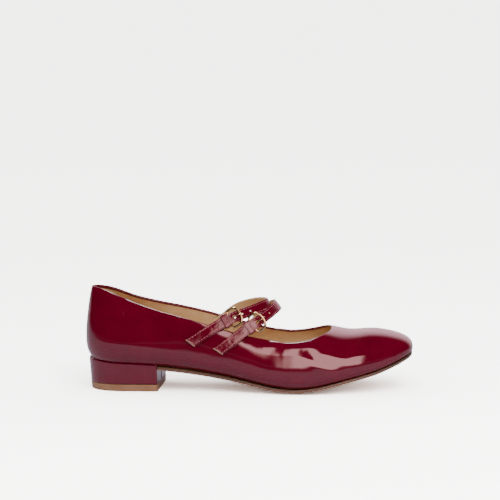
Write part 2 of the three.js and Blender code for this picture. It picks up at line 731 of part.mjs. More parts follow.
// The prong: an eye round the bar, then a pin up through the strap's hole and onto the bow
function prong(line) {
  const b = buckleFrame(line);
  const eyeRadius = BUCKLE_WIRE + BAR_CLEARANCE + PRONG_RADIUS;
  const sides = 14;
  const eye = Array.from({ length: sides }, (_, i) => {
    const angle = (2 * Math.PI * i) / sides;
    const out = b.ahead.clone().multiplyScalar(Math.cos(angle)).addScaledVector(b.up, Math.sin(angle));
    return wireRing(b.bar.clone().addScaledVector(out, eyeRadius), out, b.across, PRONG_RADIUS, 6);
  });
  const rest = BOW_LIFT + BUCKLE_WIRE + GAP + PRONG_RADIUS;
  const pin = new THREE.CatmullRomCurve3([
    b.bar.clone().addScaledVector(b.ahead, eyeRadius),
    beside(line.frame(PRONG_HOLE_AT - 0.9), -1.8, 0),
    beside(line.frame(PRONG_HOLE_AT), 0, 0),
    beside(line.frame(PRONG_HOLE_AT + 0.8), 1.6, 0),
    beside(line.frame(BOW_FRONT / 2), rest - 0.5, 0),
    beside(line.frame(BOW_FRONT), rest, 0),
    beside(line.frame(BOW_FRONT + 1.4), rest - 0.2, 0),
  ]);
  const section = new THREE.Shape(Array.from({ length: 6 }, (_, k) => new THREE.Vector2(
    PRONG_RADIUS * Math.cos((Math.PI * k) / 3), PRONG_RADIUS * Math.sin((Math.PI * k) / 3),
  )));
  const tube = new THREE.ExtrudeGeometry(section, { steps: 12, extrudePath: pin, bevelEnabled: false });
  return geometryOf(solid(skin(eye, { loop: true })).add(solid(tube)));
}

// Depth of the tab's middle under the strap's: close under it from the bar to the keeper, then
// down inside the collar, which the strap passes on the outside
function tabDepth(s, collarS) {
  const high = STRAP_THICKNESS / 2 + 2 * GAP + TAB_THICKNESS / 2;
  const deep = STRAP_THICKNESS + WALL + 5 * GAP + TAB_THICKNESS;
  return -high - (deep - high) * THREE.MathUtils.smoothstep(-s, BAR_BACK + 2, -collarS - STRAP_WIDTH / 2);
}

// The tab holds the bar in a sleeve and is sewn down inside the collar
function tab(line, collarS) {
  const b = buckleFrame(line);
  const depth = (s) => tabDepth(s, collarS);
  const strip = solid(band(line, collarS - TAB_TAIL, -BAR_BACK, TAB_STEPS, TAB_THICKNESS, depth));
  const onBar = axes(b.ahead, b.across, b.ahead.clone().cross(b.across), b.bar);
  const round = (radius, length) => {
    return new THREE.CylinderGeometry(radius, radius, length, 14).applyMatrix4(onBar);
  };
  const sleeve = round(SLEEVE_RADIUS, STRAP_WIDTH);
  const bore = round(BUCKLE_WIRE + BAR_CLEARANCE, STRAP_WIDTH * 1.3);
  const slot = new THREE.BoxGeometry(SLEEVE_RADIUS * 3, 2 * PRONG_RADIUS + PRONG_SLACK, SLEEVE_RADIUS * 3);
  slot.applyMatrix4(onBar);
  return geometryOf(strip.add(solid(sleeve)).subtract(solid(bore)).subtract(solid(slot)));
}

// The keeper is a loop round strap and tab, between the buckle and the collar
function keeper(line, collarS) {
  const at = -(BAR_BACK + SLEEVE_RADIUS + GAP + KEEPER_WIDTH / 2);
  const top = STRAP_THICKNESS / 2 + 1.5 * GAP;
  const bottom = tabDepth(at - KEEPER_WIDTH / 2, collarS) - TAB_THICKNESS / 2 - 1.5 * GAP;
  const half = STRAP_WIDTH / 2 + 1.5 * GAP;
  const box = (grow, round) => roundedBox(-half - grow, bottom - grow, half + grow, top + grow, round);
  const shape = new THREE.Shape(box(KEEPER_THICKNESS, 1.4));
  shape.holes.push(new THREE.Path(box(0, 0.5)));
  const loop = new THREE.ExtrudeGeometry(shape, { depth: KEEPER_WIDTH, bevelEnabled: false });
  loop.translate(0, 0, -KEEPER_WIDTH / 2);
  const f = line.frame(at);
  loop.applyMatrix4(axes(f.across, f.normal, f.across.clone().cross(f.normal), f.p));
  return geometryOf(solid(loop));
}

function roundedBox(x0, y0, x1, y1, round) {
  const [left, right, low, high] = [x0 + round, x1 - round, y0 + round, y1 - round];
  const corners = [[right, high, 0], [left, high, 1], [left, low, 2], [right, low, 3]];
  return corners.flatMap(([x, y, quarter]) => [0, 1, 2, 3].map((k) => {
    const angle = (Math.PI / 2) * (quarter + k / 3);
    return new THREE.Vector2(x + round * Math.cos(angle), y + round * Math.sin(angle));
  }));
}

// Distance along a strap at which its middle passes the collar on the outer side
function collarCrossing(line) {
  return crossing(line.start, -BAR_BACK, (s) => {
    const p = line.frame(s).p;
    return p.z - BACK_HEIGHT * collarHeight(p.x / LENGTH);
  });
}

const PATENT = { color: 0x6d0016, roughness: 0.08, metalness: 0 };
const TAN = { color: 0xb07f4f, roughness: 0.6, metalness: 0 };
const SOLE_TAN = { color: 0x9c7446, roughness: 0.55, metalness: 0 };
const GOLD = { color: 0xc9a765, roughness: 0.2, metalness: 1 };

const shoe = new THREE.Group();

function add(name, geometry, finish) {
  const mesh = new THREE.Mesh(geometry, new THREE.MeshStandardMaterial(finish));
  mesh.name = name;
  shoe.add(mesh);
}

add('upper', upper(), PATENT);
add('insole', insole(), TAN);
add('outsole', outsole(), SOLE_TAN);
add('heel', heel(), PATENT);
add('heel_top_piece', topPiece(), SOLE_TAN);
for (const [where, route] of Object.entries(STRAPS)) {
  const line = strapLine(route);
  const collarS = collarCrossing(line);
  add(`strap_${where}`, strap(line), PATENT);
  add(`buckle_${where}`, buckle(line), GOLD);
  add(`prong_${where}`, prong(line), GOLD);
  add(`tab_${where}`, tab(line, collarS), PATENT);
  add(`keeper_${where}`, keeper(line, collarS), PATENT);
}

// The origin is on the floor under the middle of the shoe
const box = new THREE.Box3().setFromObject(shoe);
const middle = box.getCenter(new THREE.Vector3());
shoe.position.set(-middle.x, -middle.y, -box.min.z);

export default shoe;
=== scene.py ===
# A right mary jane shoe in burgundy patent leather with two buckled straps.
# Shapes are worked out in millimetres on the last of the CAD model, whose sizes are repeated here.
# x runs from the heel to the toe, y to the wearer's left, z up.
import math
from types import SimpleNamespace

import bmesh
import bpy
import numpy as np
from mathutils import Matrix, Vector


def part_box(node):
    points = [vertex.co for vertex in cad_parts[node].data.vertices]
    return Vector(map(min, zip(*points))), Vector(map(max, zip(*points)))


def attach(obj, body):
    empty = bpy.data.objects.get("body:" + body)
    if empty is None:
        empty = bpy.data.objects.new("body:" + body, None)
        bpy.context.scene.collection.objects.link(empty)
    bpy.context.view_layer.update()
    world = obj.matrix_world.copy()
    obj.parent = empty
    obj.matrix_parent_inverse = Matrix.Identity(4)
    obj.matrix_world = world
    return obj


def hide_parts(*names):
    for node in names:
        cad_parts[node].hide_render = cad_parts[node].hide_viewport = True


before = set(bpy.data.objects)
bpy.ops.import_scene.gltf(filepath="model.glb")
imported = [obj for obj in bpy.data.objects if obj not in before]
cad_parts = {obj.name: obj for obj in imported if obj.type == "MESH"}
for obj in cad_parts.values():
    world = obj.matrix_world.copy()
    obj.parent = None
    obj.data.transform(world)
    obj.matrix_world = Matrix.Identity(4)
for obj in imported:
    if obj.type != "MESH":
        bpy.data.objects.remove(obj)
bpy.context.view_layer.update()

# The last and the upper
LENGTH = 251
BALL_WIDTH = 78
SEAT_HEIGHT = 22
TOE_SPRING = 24.2
BACK_HEIGHT = 79
BACK_TOP_AT = 4.7
VAMP_CREST = 47.5
VAMP_DIP = 3.0
DIP_AT = 203
DIP_LENGTH = 14
THROAT_AT = 189
TOE_SWING = 4
WALL = 1.6
LASTING_MARGIN = 5
TREAD_CROWN = 2.4
TREAD_FLAT = 0.5
GAP = 0.3
SOLE_GAP = 0.58
MARGIN_GAP = 0.6

# Bottom pieces
SOLE_THICKNESS = 2.3
INSOLE_THICKNESS = 2.2
HEEL_LENGTH = 54
HEEL_WIDTH = 49
HEEL_FLARE = 1.6
HEEL_SETBACK = 3.6
TOP_PIECE_THICKNESS = 5.4
EDGE_ROUND = 0.7

# Straps, tabs, keepers and buckles
STRAP_WIDTH = 8
STRAP_THICKNESS = 1.6
TIP_SLANT = 1.5
HOLE_RADIUS = 0.62
HOLE_PITCH = 7
PRONG_HOLE_RADIUS = 1.35
PRONG_HOLE_AT = -0.6
TAB_THICKNESS = 0.9
KEEPER_WIDTH = 4.6
KEEPER_SLACK = 1.1
KEEPER_THICKNESS = 0.9
BUCKLE_WIDTH = 15.2
BUCKLE_WIRE = 0.8
BAR_BACK = 4.3
BOW_FRONT = 4.2
PRONG_RADIUS = 0.45
BAR_CLEARANCE = 0.2
WIRE_WIDE = 0.95
WIRE_TALL = 0.72
BAR_SQUARENESS = 0.4

HEEL_PIVOT = 0.132 * LENGTH
BALL_PIVOT = 0.618 * LENGTH
HEEL_FRONT = HEEL_SETBACK + HEEL_LENGTH
HEEL_POWER = 2.25
TOE_POWER = 2.75
BACK_POWER = 1.8
BACK_POWER_BESIDE = 2.05
THROAT_POWER = 2.8
BACK_FULLNESS = 1.95
SIDE_FULLNESS = 1.6
VAMP_FULLNESS = 2.8
UNDERCURVE = 2.2
BALL_EDGE = SOLE_THICKNESS + GAP + TREAD_CROWN - TREAD_FLAT
FOLD_BAND = 1.9
FOLD_STEP = 0.25
CUP_HEIGHT = 2.0

# Section by section: place, outer and inner half-width, outer and inner turn under, height of the
# widest line, share of the turn that the sole leaves free, share of the heel's lift and of the toe spring
SECTIONS = dict(zip(
    ("at", "outer", "inner", "outer_turn", "inner_turn", "lift", "show", "seat", "spring"),
    np.array([
        (0.00, 0.400, 0.400, 0.120, 0.120, 0.215, 0.42, 1.00, 0.000),
        (0.12, 0.402, 0.402, 0.120, 0.125, 0.205, 0.42, 0.97, 0.000),
        (0.24, 0.404, 0.398, 0.130, 0.155, 0.185, 0.42, 0.87, 0.000),
        (0.36, 0.420, 0.400, 0.135, 0.175, 0.165, 0.42, 0.68, 0.000),
        (0.48, 0.460, 0.435, 0.130, 0.160, 0.135, 0.42, 0.39, 0.000),
        (0.58, 0.494, 0.477, 0.120, 0.130, 0.114, 0.42, 0.09, 0.000),
        (0.65, 0.506, 0.500, 0.115, 0.115, 0.100, 0.42, 0.00, 0.000),
        (0.72, 0.508, 0.507, 0.108, 0.108, 0.088, 0.42, 0.00, 0.080),
        (0.80, 0.500, 0.510, 0.095, 0.095, 0.072, 0.42, 0.00, 0.287),
        (0.90, 0.480, 0.510, 0.080, 0.080, 0.042, 0.36, 0.00, 0.565),
        (1.00, 0.460, 0.500, 0.070, 0.070, 0.020, 0.08, 0.00, 1.000),
    ]).T))

# The collar: place, height, half-width of the opening
COLLAR = dict(zip(("at", "height", "half"), np.array([
    (0.00, 1.002, 0.090),
    (0.06, 0.976, 0.130),
    (0.13, 0.897, 0.180),
    (0.20, 0.824, 0.258),
    (0.28, 0.759, 0.334),
    (0.38, 0.677, 0.370),
    (0.50, 0.572, 0.384),
    (0.62, 0.503, 0.394),
]).T))

# The straps from the free end to the sewn end. On the wall: place, height, distance from the wall.
# Over the foot: place, height, side. Core: what the strap bends round.
STRAPS = {
    "rear": dict(
        outer_end=[(0.335, 0.494, 0.9), (0.375, 0.574, 0.7), (0.402, 0.625, 1.0)],
        over=[(0.441, 0.700, -0.75), (0.469, 0.740, -0.68), (0.532, 0.799, -0.40),
              (0.564, 0.827, 0.00), (0.520, 0.802, 0.42), (0.458, 0.728, 0.645)],
        inner_end=[(0.412, 0.628, 1.2), (0.384, 0.548, 0.7)],
        core=(0.42, 0.56)),
    "front": dict(
        outer_end=[(0.420, 0.418, 0.9), (0.456, 0.500, 0.7), (0.480, 0.555, 1.0)],
        over=[(0.511, 0.640, -0.77), (0.538, 0.694, -0.70), (0.574, 0.768, -0.38),
              (0.590, 0.806, 0.00), (0.574, 0.783, 0.40), (0.540, 0.700, 0.66)],
        inner_end=[(0.502, 0.568, 1.4), (0.474, 0.490, 0.7)],
        core=(0.46, 0.49)),
}

MM = 0.001
heel_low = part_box("heel")[0]
SHIFT = np.array([
    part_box("upper")[1].x - LENGTH * MM,
    heel_low.y + (HEEL_WIDTH / 2 + HEEL_FLARE) * MM,
    0.0,
])


# A natural cubic spline through one column of a table
def spline(table, name):
    at, value = table["at"], table[name]
    n = len(at)
    bend, part = np.zeros(n), np.zeros(n)
    for i in range(1, n - 1):
        before, after = at[i] - at[i - 1], at[i + 1] - at[i]
        pull = before * part[i - 1] + 2 * (before + after)
        slope = (value[i + 1] - value[i]) / after - (value[i] - value[i - 1]) / before
        part[i] = -after / pull
        bend[i] = (6 * slope - before * bend[i - 1]) / pull
    for i in range(n - 2, 0, -1):
        bend[i] += part[i] * bend[i + 1]

    def curve(x):
        i = np.clip(np.searchsorted(at, x, side="right") - 1, 0, n - 2)
        step = at[i + 1] - at[i]
        b = np.clip((x - at[i]) / step, 0, 1)
        a = 1 - b
        bent = (a ** 3 - a) * bend[i] + (b ** 3 - b) * bend[i + 1]
        return a * value[i] + b * value[i + 1] + bent * step * step / 6

    return curve


last = {name: spline(SECTIONS, name) for name in SECTIONS}
collar_height = spline(COLLAR, "height")
collar_half = spline(COLLAR, "half")


def edge_height(x):
    at = x / LENGTH
    return BALL_EDGE + last["seat"](at) * (SEAT_HEIGHT - BALL_EDGE) + last["spring"](at) * TOE_SPRING


def underside_height(x, r, r_edge):
    flat = 1 - last["seat"](x / LENGTH)
    return edge_height(x) - TREAD_CROWN * flat * (1 - np.minimum(1, (r / r_edge) ** 2))


def closing(x):
    behind = x < HEEL_PIVOT
    share = np.where(behind, (HEEL_PIVOT - x) / HEEL_PIVOT, (x - BALL_PIVOT) / (LENGTH - BALL_PIVOT))
    power = np.where(behind, HEEL_POWER, TOE_POWER)
    return np.maximum(0, 1 - np.maximum(0, share) ** power) ** (1 / power)


def swing(x):
    share = np.maximum(0, x - HEEL_PIVOT) / (LENGTH - HEEL_PIVOT)
    return TOE_SWING * share * share


HALVINGS = 46


# Where rising crosses zero, for each entry of low and high
def crossing(low, high, rising):
    for _ in range(HALVINGS):
        middle = (low + high) / 2
        below = rising(middle) < 0
        low = np.where(below, middle, low)
        high = np.where(below, high, middle)
    return (low + high) / 2


def by_side(dy, name, at):
    outer, inner = last["outer" + name], last["inner" + name]
    return np.where(dy < 0, outer(at), inner(at))


def smooth(x, low, high):
    t = np.clip((x - low) / (high - low), 0, 1)
    return t * t * (3 - 2 * t)


# Half-planes of the last: each stands on the spine at x and looks along (dx, dy)
def stations(x, dx, dy):
    x, dx, dy = (np.atleast_1d(np.asarray(v, float)) for v in (x, dx, dy))
    zero = np.zeros(len(x))
    widest = crossing(zero, zero + LENGTH, lambda r: r * np.abs(dy)
                      - BALL_WIDTH * by_side(dy, "", (x + r * dx) / LENGTH) * closing(x + r * dx))
    edge_x = x + widest * dx
    at = edge_x / LENGTH
    turn = BALL_WIDTH * by_side(dy, "_turn", at)
    share = np.clip((BALL_PIVOT - x) / (BALL_PIVOT - HEEL_PIVOT), 0, 1)
    round_back = np.where(dx < 0, dx * dx * (BACK_FULLNESS - SIDE_FULLNESS), 0)
    lift = BACK_HEIGHT * last["lift"](at)
    s = SimpleNamespace(
        x=x, dx=dx, dy=dy, widest=widest, turn=turn, lift=lift,
        widest_height=edge_height(edge_x) + lift,
        fullness=VAMP_FULLNESS + share * (SIDE_FULLNESS - VAMP_FULLNESS) + round_back,
        edge=widest - last["show"](at) * turn)
    half = BALL_WIDTH * collar_half(x / LENGTH)
    power = BACK_POWER + (BACK_POWER_BESIDE - BACK_POWER) * dy ** 4
    r = oval_reach(s, HEEL_PIVOT - BACK_TOP_AT, half, power)
    z = BACK_HEIGHT * collar_height((x + r * dx) / LENGTH)
    inside_line = np.clip(r / widest, 0, 0.999)
    rise = (1 - inside_line ** s.fullness) ** (1 / s.fullness)
    over = s.widest_height + (z - s.widest_height) / rise
    s.crest = VAMP_CREST + (over - VAMP_CREST) * smooth(share, 0, 0.3)
    return s


def oval_reach(s, ahead, half, power):
    return ((np.abs(s.dx) / ahead) ** power + (np.abs(s.dy) / half) ** power) ** (-1 / power)


def place(s, r, z):
    x = s.x + r * s.dx
    return np.stack([x, r * s.dy + swing(x), z + 0 * x], axis=-1)


def wall_at(s, angle):
    r = s.widest * np.maximum(0, np.cos(angle)) ** (2 / s.fullness)
    rise = np.maximum(0, np.sin(angle)) ** (2 / s.fullness)
    dip = VAMP_DIP * np.exp(-(((s.x + r * s.dx - DIP_AT) / DIP_LENGTH) ** 2))
    return place(s, r, s.widest_height + (s.crest - s.widest_height - dip) * rise)


def wall_point(x, z, side, out):
    sign = -1 if side == "outer" else 1

    def point(px, pz):
        s = stations(px, 0, sign)
        rise = (pz - s.widest_height) / (s.crest - s.widest_height)
        under = np.clip((s.widest_height - pz) / s.lift, 0, 1)
        above = s.widest * (1 - np.maximum(rise, 0) ** s.fullness) ** (1 / s.fullness)
        below = s.widest - s.turn * (1 - (1 - under ** UNDERCURVE) ** (1 / UNDERCURVE))
        return place(s, np.where(rise > 0, above, below), pz)[0]

    along = point(x + 0.5, z) - point(x - 0.5, z)
    up = point(x, z + 0.5) - point(x, z - 0.5)
    normal = np.cross(along, up) * -sign
    normal /= np.linalg.norm(normal)
    return point(x, z) + normal * out, normal


# Directions round a pivot, even along the outline, from the end of the shoe to its side
def fan(x, ahead, steps, sign):
    reach = LENGTH - x if ahead > 0 else x
    half = BALL_WIDTH * last["outer" if sign < 0 else "inner"](x / LENGTH)
    angle = np.pi / 2 * np.arange(steps + 1) / steps
    d = np.stack([ahead * reach * np.cos(angle), sign * half * np.sin(angle)])
    d /= np.linalg.norm(d, axis=0)
    flat = np.abs(d[1]) < 1e-9
    d[1] = np.where(flat, sign * 1e-12, d[1])
    d[0] = np.where(np.abs(d[0]) < 1e-9, 0, d[0])
    return [(x, a, b) for a, b in d.T]


def straight(start, end, steps, sign):
    return [(x, 0, sign) for x in np.linspace(start, end, steps + 1)[1:-1]]


TOE_STEPS, SIDE_STEPS, HEEL_STEPS = 96, 110, 64


# Places of the stations forward along the outer side, round the toe and back on the inner side
def forepart(start, steps):
    toe = [*fan(BALL_PIVOT, 1, TOE_STEPS, -1)[::-1], *fan(BALL_PIVOT, 1, TOE_STEPS, 1)[1:]]
    return [(start, 0, -1), *straight(start, BALL_PIVOT, steps, -1), *toe,
            *straight(BALL_PIVOT, start, steps, 1), (start, 0, 1)]


def heel_round():
    return [*fan(HEEL_PIVOT, -1, HEEL_STEPS, 1)[:-2][::-1], *fan(HEEL_PIVOT, -1, HEEL_STEPS, -1)[1:-1]]


def gather(places):
    return stations(*np.array(places, float).T)


def whole_outline():
    return gather([*forepart(HEEL_PIVOT, SIDE_STEPS), *heel_round()])


# Angle of the wall at the collar, where the fold's round top takes the last drop of its height
def collar_angle(s, drop):
    side = stations([BALL_PIVOT, BALL_PIVOT], [0, 0], [-1, 1])

    def by_height(t):
        low = np.zeros(len(t.x))
        return crossing(low, low + np.pi / 2, lambda a: wall_at(t, a)[:, 2] + drop
                        - BACK_HEIGHT * collar_height(wall_at(t, a)[:, 0] / LENGTH))

    ends = side.widest * np.cos(by_height(side)) ** (2 / side.fullness)
    half = np.where(s.dy < 0, ends[0], ends[1])
    r = oval_reach(s, THROAT_AT - BALL_PIVOT + drop, half, THROAT_POWER)
    throat = np.arccos(np.clip(r / s.widest, 0, 1) ** (s.fullness / 2))
    return np.where(s.dx > 0, throat, by_height(s))


# A point inside the shoe, and the line of the wall's grid that tells outside from inside
INSIDE_POINT = np.array([120, 0, 30])
PROBE_LINE = 20


# Normals of the wall's grid, pointing away from the inside of the shoe
def outward_normals(grid):
    along = np.roll(grid, -1, axis=0) - np.roll(grid, 1, axis=0)
    normal = np.cross(along, np.gradient(grid, axis=1))
    normal /= np.maximum(np.linalg.norm(normal, axis=2, keepdims=True), 1e-12)
    away = grid[:, PROBE_LINE] - INSIDE_POINT
    return normal * np.sign(np.sum(normal[:, PROBE_LINE] * away, axis=1))[:, None, None]


collection = bpy.context.scene.collection


# Negative where a closed mesh has its faces turned inwards
def signed_volume(mesh):
    mesh.calc_loop_triangles()
    corners = np.empty(len(mesh.loop_triangles) * 3, np.int32)
    mesh.loop_triangles.foreach_get("vertices", corners)
    points = np.empty(len(mesh.vertices) * 3, np.float32)
    mesh.vertices.foreach_get("co", points)
    a, b, c = points.reshape(-1, 3)[corners].reshape(-1, 3, 3).transpose(1, 0, 2)
    return float(np.sum(a * np.cross(b, c)))


# A mesh object from points in millimetres. looks: one material, or the material of each face
def piece(name, points, faces, materials, looks=None, smooth_faces=True):
    mesh = bpy.data.meshes.new(name)
    mesh.from_pydata(np.asarray(points) * MM + SHIFT, [], faces)
    mesh.polygons.foreach_set("use_smooth", [smooth_faces] * len(faces))
    for material in materials:
        mesh.materials.append(material)
    if looks is not None:
        mesh.polygons.foreach_set("material_index", looks)
    mesh.validate()
    mesh.update()
    if signed_volume(mesh) < 0:
        mesh.flip_normals()
    obj = bpy.data.objects.new(name, mesh)
    collection.objects.link(obj)
    return obj


# Faces of a grid of points, rows by columns
def grid_faces(rows, columns, loop_rows=False, loop_columns=False, first=0):
    i = np.arange(rows if loop_rows else rows - 1)
    j = np.arange(columns if loop_columns else columns - 1)
    i, j = (v.ravel() for v in np.meshgrid(i, j, indexing="ij"))
    i2, j2 = (i + 1) % rows, (j + 1) % columns
    quads = np.stack([i * columns + j, i * columns + j2, i2 * columns + j2, i2 * columns + j], axis=1)
    return (quads + first).tolist(), j


def settle(obj, slot, *nodes):
    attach(obj, "root")
    if nodes:
        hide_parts(*nodes)


def outer_grid(s, under_steps, wall_steps, drop):
    turn_start = s.widest - s.turn

    def low(r, climb):
        x = s.x + r * s.dx
        return place(s, r, underside_height(x, r, s.edge) + climb)

    lines = [low(turn_start - LASTING_MARGIN, 0)]
    for angle in np.linspace(0, np.pi / 2, under_steps + 1)[:-1]:
        r = turn_start + s.turn * np.sin(angle) ** (2 / UNDERCURVE)
        lines.append(low(r, s.lift * (1 - np.cos(angle) ** (2 / UNDERCURVE))))
    top = collar_angle(s, drop)
    for share in np.linspace(0, 1, wall_steps + 1):
        lines.append(wall_at(s, top * share))
    return np.stack(lines, axis=1)


# A new shader node. Each input is a value or an output of another node
def add_node(tree, kind, inputs, operation=None):
    node = tree.nodes.new("ShaderNode" + kind)
    if operation:
        node.operation = operation
    for name, source in inputs.items():
        if isinstance(source, bpy.types.NodeSocket):
            tree.links.new(source, node.inputs[name])
        else:
            node.inputs[name].default_value = source
    return node


def noise(tree, scale, detail):
    inputs = {"Vector": add_node(tree, "TexCoord", {}).outputs["Object"], "Scale": scale, "Detail": detail}
    return add_node(tree, "TexNoise", inputs).outputs["Fac"]


# stops: place and colour of the first and the last, then of those between
def colour_ramp(tree, factor, stops, interpolation="LINEAR"):
    node = add_node(tree, "ValToRGB", {"Fac": factor})
    ramp = node.color_ramp
    ramp.interpolation = interpolation
    for k, (position, colour) in enumerate(stops):
        stop = ramp.elements[k] if k < 2 else ramp.elements.new(position)
        stop.position = position
        stop.color = (*colour, 1)
    return node.outputs["Color"]


def smooth_range(tree, value, start, end):
    node = add_node(tree, "MapRange", {"Value": value, "From Min": start, "From Max": end})
    node.interpolation_type = "SMOOTHSTEP"
    return node.outputs["Result"]


def bump(tree, shader, height, strength, distance, below=None):
    inputs = {"Strength": strength, "Distance": distance, "Height": height}
    if below is not None:
        inputs["Normal"] = below
    normal = add_node(tree, "Bump", inputs).outputs["Normal"]
    tree.links.new(normal, shader.inputs["Normal"])
    return normal


def new_material(name):
    material = bpy.data.materials.new(name)
    material.use_nodes = True
    tree = material.node_tree
    return material, tree, tree.nodes["Principled BSDF"]


# A material whose colour wanders from low to high with a noise of the given scale and detail
def mottled(name, low, high, scale, detail, roughness):
    material, tree, shader = new_material(name)
    colour = colour_ramp(tree, noise(tree, scale, detail), [(0.3, low), (0.7, high)])
    tree.links.new(colour, shader.inputs["Base Color"])
    shader.inputs["Roughness"].default_value = roughness
    return material, tree, shader


BURGUNDY_LOW, BURGUNDY_HIGH = (0.112, 0.0008, 0.0105), (0.132, 0.0011, 0.0128)
DENT_SCALE = 170
DENT_SOFTNESS = 0.9


# Patent leather: a mirror on soft ripples. On the straps small dents break its gloss up
def patent_leather(name, roughness, ripple_scale, ripple_detail, ripple, dents=0):
    material, tree, shader = mottled(name, BURGUNDY_LOW, BURGUNDY_HIGH, 60, 3, roughness)
    shader.inputs["IOR"].default_value = 1.5
    surface = bump(tree, shader, noise(tree, ripple_scale, ripple_detail), ripple, 0.002)
    if dents:
        cells = add_node(tree, "TexVoronoi", {"Scale": DENT_SCALE})
        cells.feature = "SMOOTH_F1"
        cells.inputs["Smoothness"].default_value = DENT_SOFTNESS
        surface = bump(tree, shader, cells.outputs["Distance"], dents, 0.0006, surface)
    bump(tree, shader, noise(tree, 900, 2), 0.05, 0.0002, surface)
    return material


def soft_leather(name, low, high, roughness, grain):
    material, tree, shader = mottled(name, low, high, 90, 4, roughness)
    bump(tree, shader, noise(tree, grain, 5), 0.25, 0.0004)
    return material


def metal(name, colour, roughness):
    material, tree, shader = mottled(name, tuple(0.92 * c for c in colour), colour, 300, 2, roughness)
    shader.inputs["Metallic"].default_value = 1.0
    bump(tree, shader, noise(tree, 900, 2), 0.08, 0.0001)
    return material


patent = patent_leather("patent", 0.05, 45, 1.5, 0.22)
strap_patent = patent_leather("strap_patent", 0.07, 110, 2, 0.35, 0.10)
heel_patent = patent_leather("heel_patent", 0.05, 45, 1.5, 0.06)
lining_tan = soft_leather("lining_tan", (0.66, 0.40, 0.19), (0.76, 0.49, 0.25), 0.5, 900)
sock_tan = soft_leather("sock_tan", (0.62, 0.38, 0.18), (0.72, 0.46, 0.23), 0.5, 700)
sole_tan = soft_leather("sole_tan", (0.27, 0.125, 0.055), (0.33, 0.165, 0.075), 0.45, 1200)
# Painted shadow: a near-black band on the top of the sole's edge, where the upper's overhang shades it
sole_edge_painted_shadow = soft_leather("sole_edge_painted_shadow", (0.06, 0.03, 0.018), (0.09, 0.045, 0.025), 0.45, 1200)
raw_edge = soft_leather("raw_edge", (0.62, 0.38, 0.22), (0.80, 0.55, 0.36), 0.7, 2500)
thread = soft_leather("thread", (0.42, 0.10, 0.13), (0.56, 0.18, 0.20), 0.5, 3000)
seam_dark = soft_leather("seam_dark", (0.012, 0.001, 0.002), (0.02, 0.002, 0.004), 0.5, 3000)
gold = metal("gold", (0.52, 0.37, 0.18), 0.13)


# Soft troughs where the vamp bends: the ends of each on the side (x, z), depth, half-width
CREASES = [
    ((170, 33), (196, 22), 0.30, 2.6),
    ((181, 39), (207, 30), 0.22, 2.4),
    ((140, 40), (158, 47), 0.18, 2.2),
]
CREASE_RIDGE = 0.6
CREASE_FREE_MIDDLE = 8
LINING_SEAM_AT = 45
LINING_SEAM_HALF = 0.7
SEAM_RISE = 0.22


def crease_depth(points):
    depth = np.zeros(points.shape[:-1])
    flat = points[..., (0, 2)]
    for start, end, deep, wide in CREASES:
        start, end = np.array(start, float), np.array(end, float)
        along = end - start
        share = np.clip(((flat - start) @ along) / (along @ along), 0, 1)
        away = np.linalg.norm(flat - start - share[..., None] * along, axis=-1)
        ease = np.sin(np.pi * np.clip(share, 0.02, 0.98))
        depth += deep * np.exp(-(away / wide) ** 2) * ease ** 0.5
        depth -= CREASE_RIDGE * deep * np.exp(-((away - 2 * wide) / wide) ** 2) * ease
    return depth * (np.abs(points[..., 1]) > CREASE_FREE_MIDDLE)


UNDER_STEPS, WALL_STEPS, FOLD_STEPS = 14, 60, 8


# The upper: patent outside, folded over the collar's edge, and the lining inside
def make_upper():
    s = whole_outline()
    outside = outer_grid(s, UNDER_STEPS, WALL_STEPS, WALL / 2)
    normal = outward_normals(outside)
    outside = outside - normal * crease_depth(outside)[..., None]
    rim_out, rim_normal = outside[:, -1], normal[:, -1]
    rim_up = rim_out - outside[:, -2]
    rim_up = unit(rim_up - rim_normal * np.sum(rim_up * rim_normal, axis=1, keepdims=True))
    columns = [outside[:, k] for k in range(outside.shape[1])]
    for k in range(1, FOLD_STEPS):
        angle = math.pi * k / FOLD_STEPS
        sideways = rim_normal * (math.cos(angle) - 1) * WALL / 2
        columns.append(rim_out + sideways + rim_up * math.sin(angle) * WALL / 2)
    looks = [0] * len(columns)
    # Back down inside: the folded band, then the lining a step lower
    from_top = np.cumsum(np.linalg.norm(np.diff(outside[:, ::-1], axis=1), axis=2), axis=1)
    mean_drop = np.concatenate([[0], from_top.mean(axis=0)])
    for k in range(outside.shape[1]):
        line = outside[:, -1 - k]
        depth = np.full(len(s.x), WALL if mean_drop[k] < FOLD_BAND else WALL - FOLD_STEP)
        if looks[-1] == 1:
            depth = depth + SEAM_RISE * np.exp(-((line[:, 0] - LINING_SEAM_AT) / LINING_SEAM_HALF) ** 2)
        columns.append(line - normal[:, -1 - k] * depth[:, None])
        looks.append(0 if mean_drop[k] < FOLD_BAND else 1)
    points = np.stack(columns, axis=1)
    faces, column = grid_faces(len(s.x), points.shape[1], True, True)
    looks[-1] = 1
    face_looks = [looks[j] for j in column]
    obj = piece("upper_shell", points.reshape(-1, 3), faces, [patent, lining_tan], face_looks)
    settle(obj, "patent", "upper")


# Rows from the spine to an edge, for plates on the last's underside
def plate(name, s, profile, materials, looks, loop, slot_name, node):
    points = np.stack([place(s, r, z) for r, z in profile], axis=1)
    faces, column = grid_faces(len(s.x), points.shape[1], loop, not loop)
    face_looks = [looks[min(j, len(looks) - 1)] for j in column]
    obj = piece(name, points.reshape(-1, 3), faces, materials, face_looks)
    if not loop:
        close_ends(obj, len(s.x), points.shape[1])
    settle(obj, slot_name, node)


# Flat faces over the first and last row of an open plate
def close_ends(obj, rows, columns):
    edit = bmesh.new()
    edit.from_mesh(obj.data)
    edit.verts.ensure_lookup_table()
    for first in (0, (rows - 1) * columns):
        face = edit.faces.new([edit.verts[first + j] for j in range(columns)])
        face.smooth = False
    bmesh.ops.recalc_face_normals(edit, faces=edit.faces)
    edit.to_mesh(obj.data)
    edit.free()


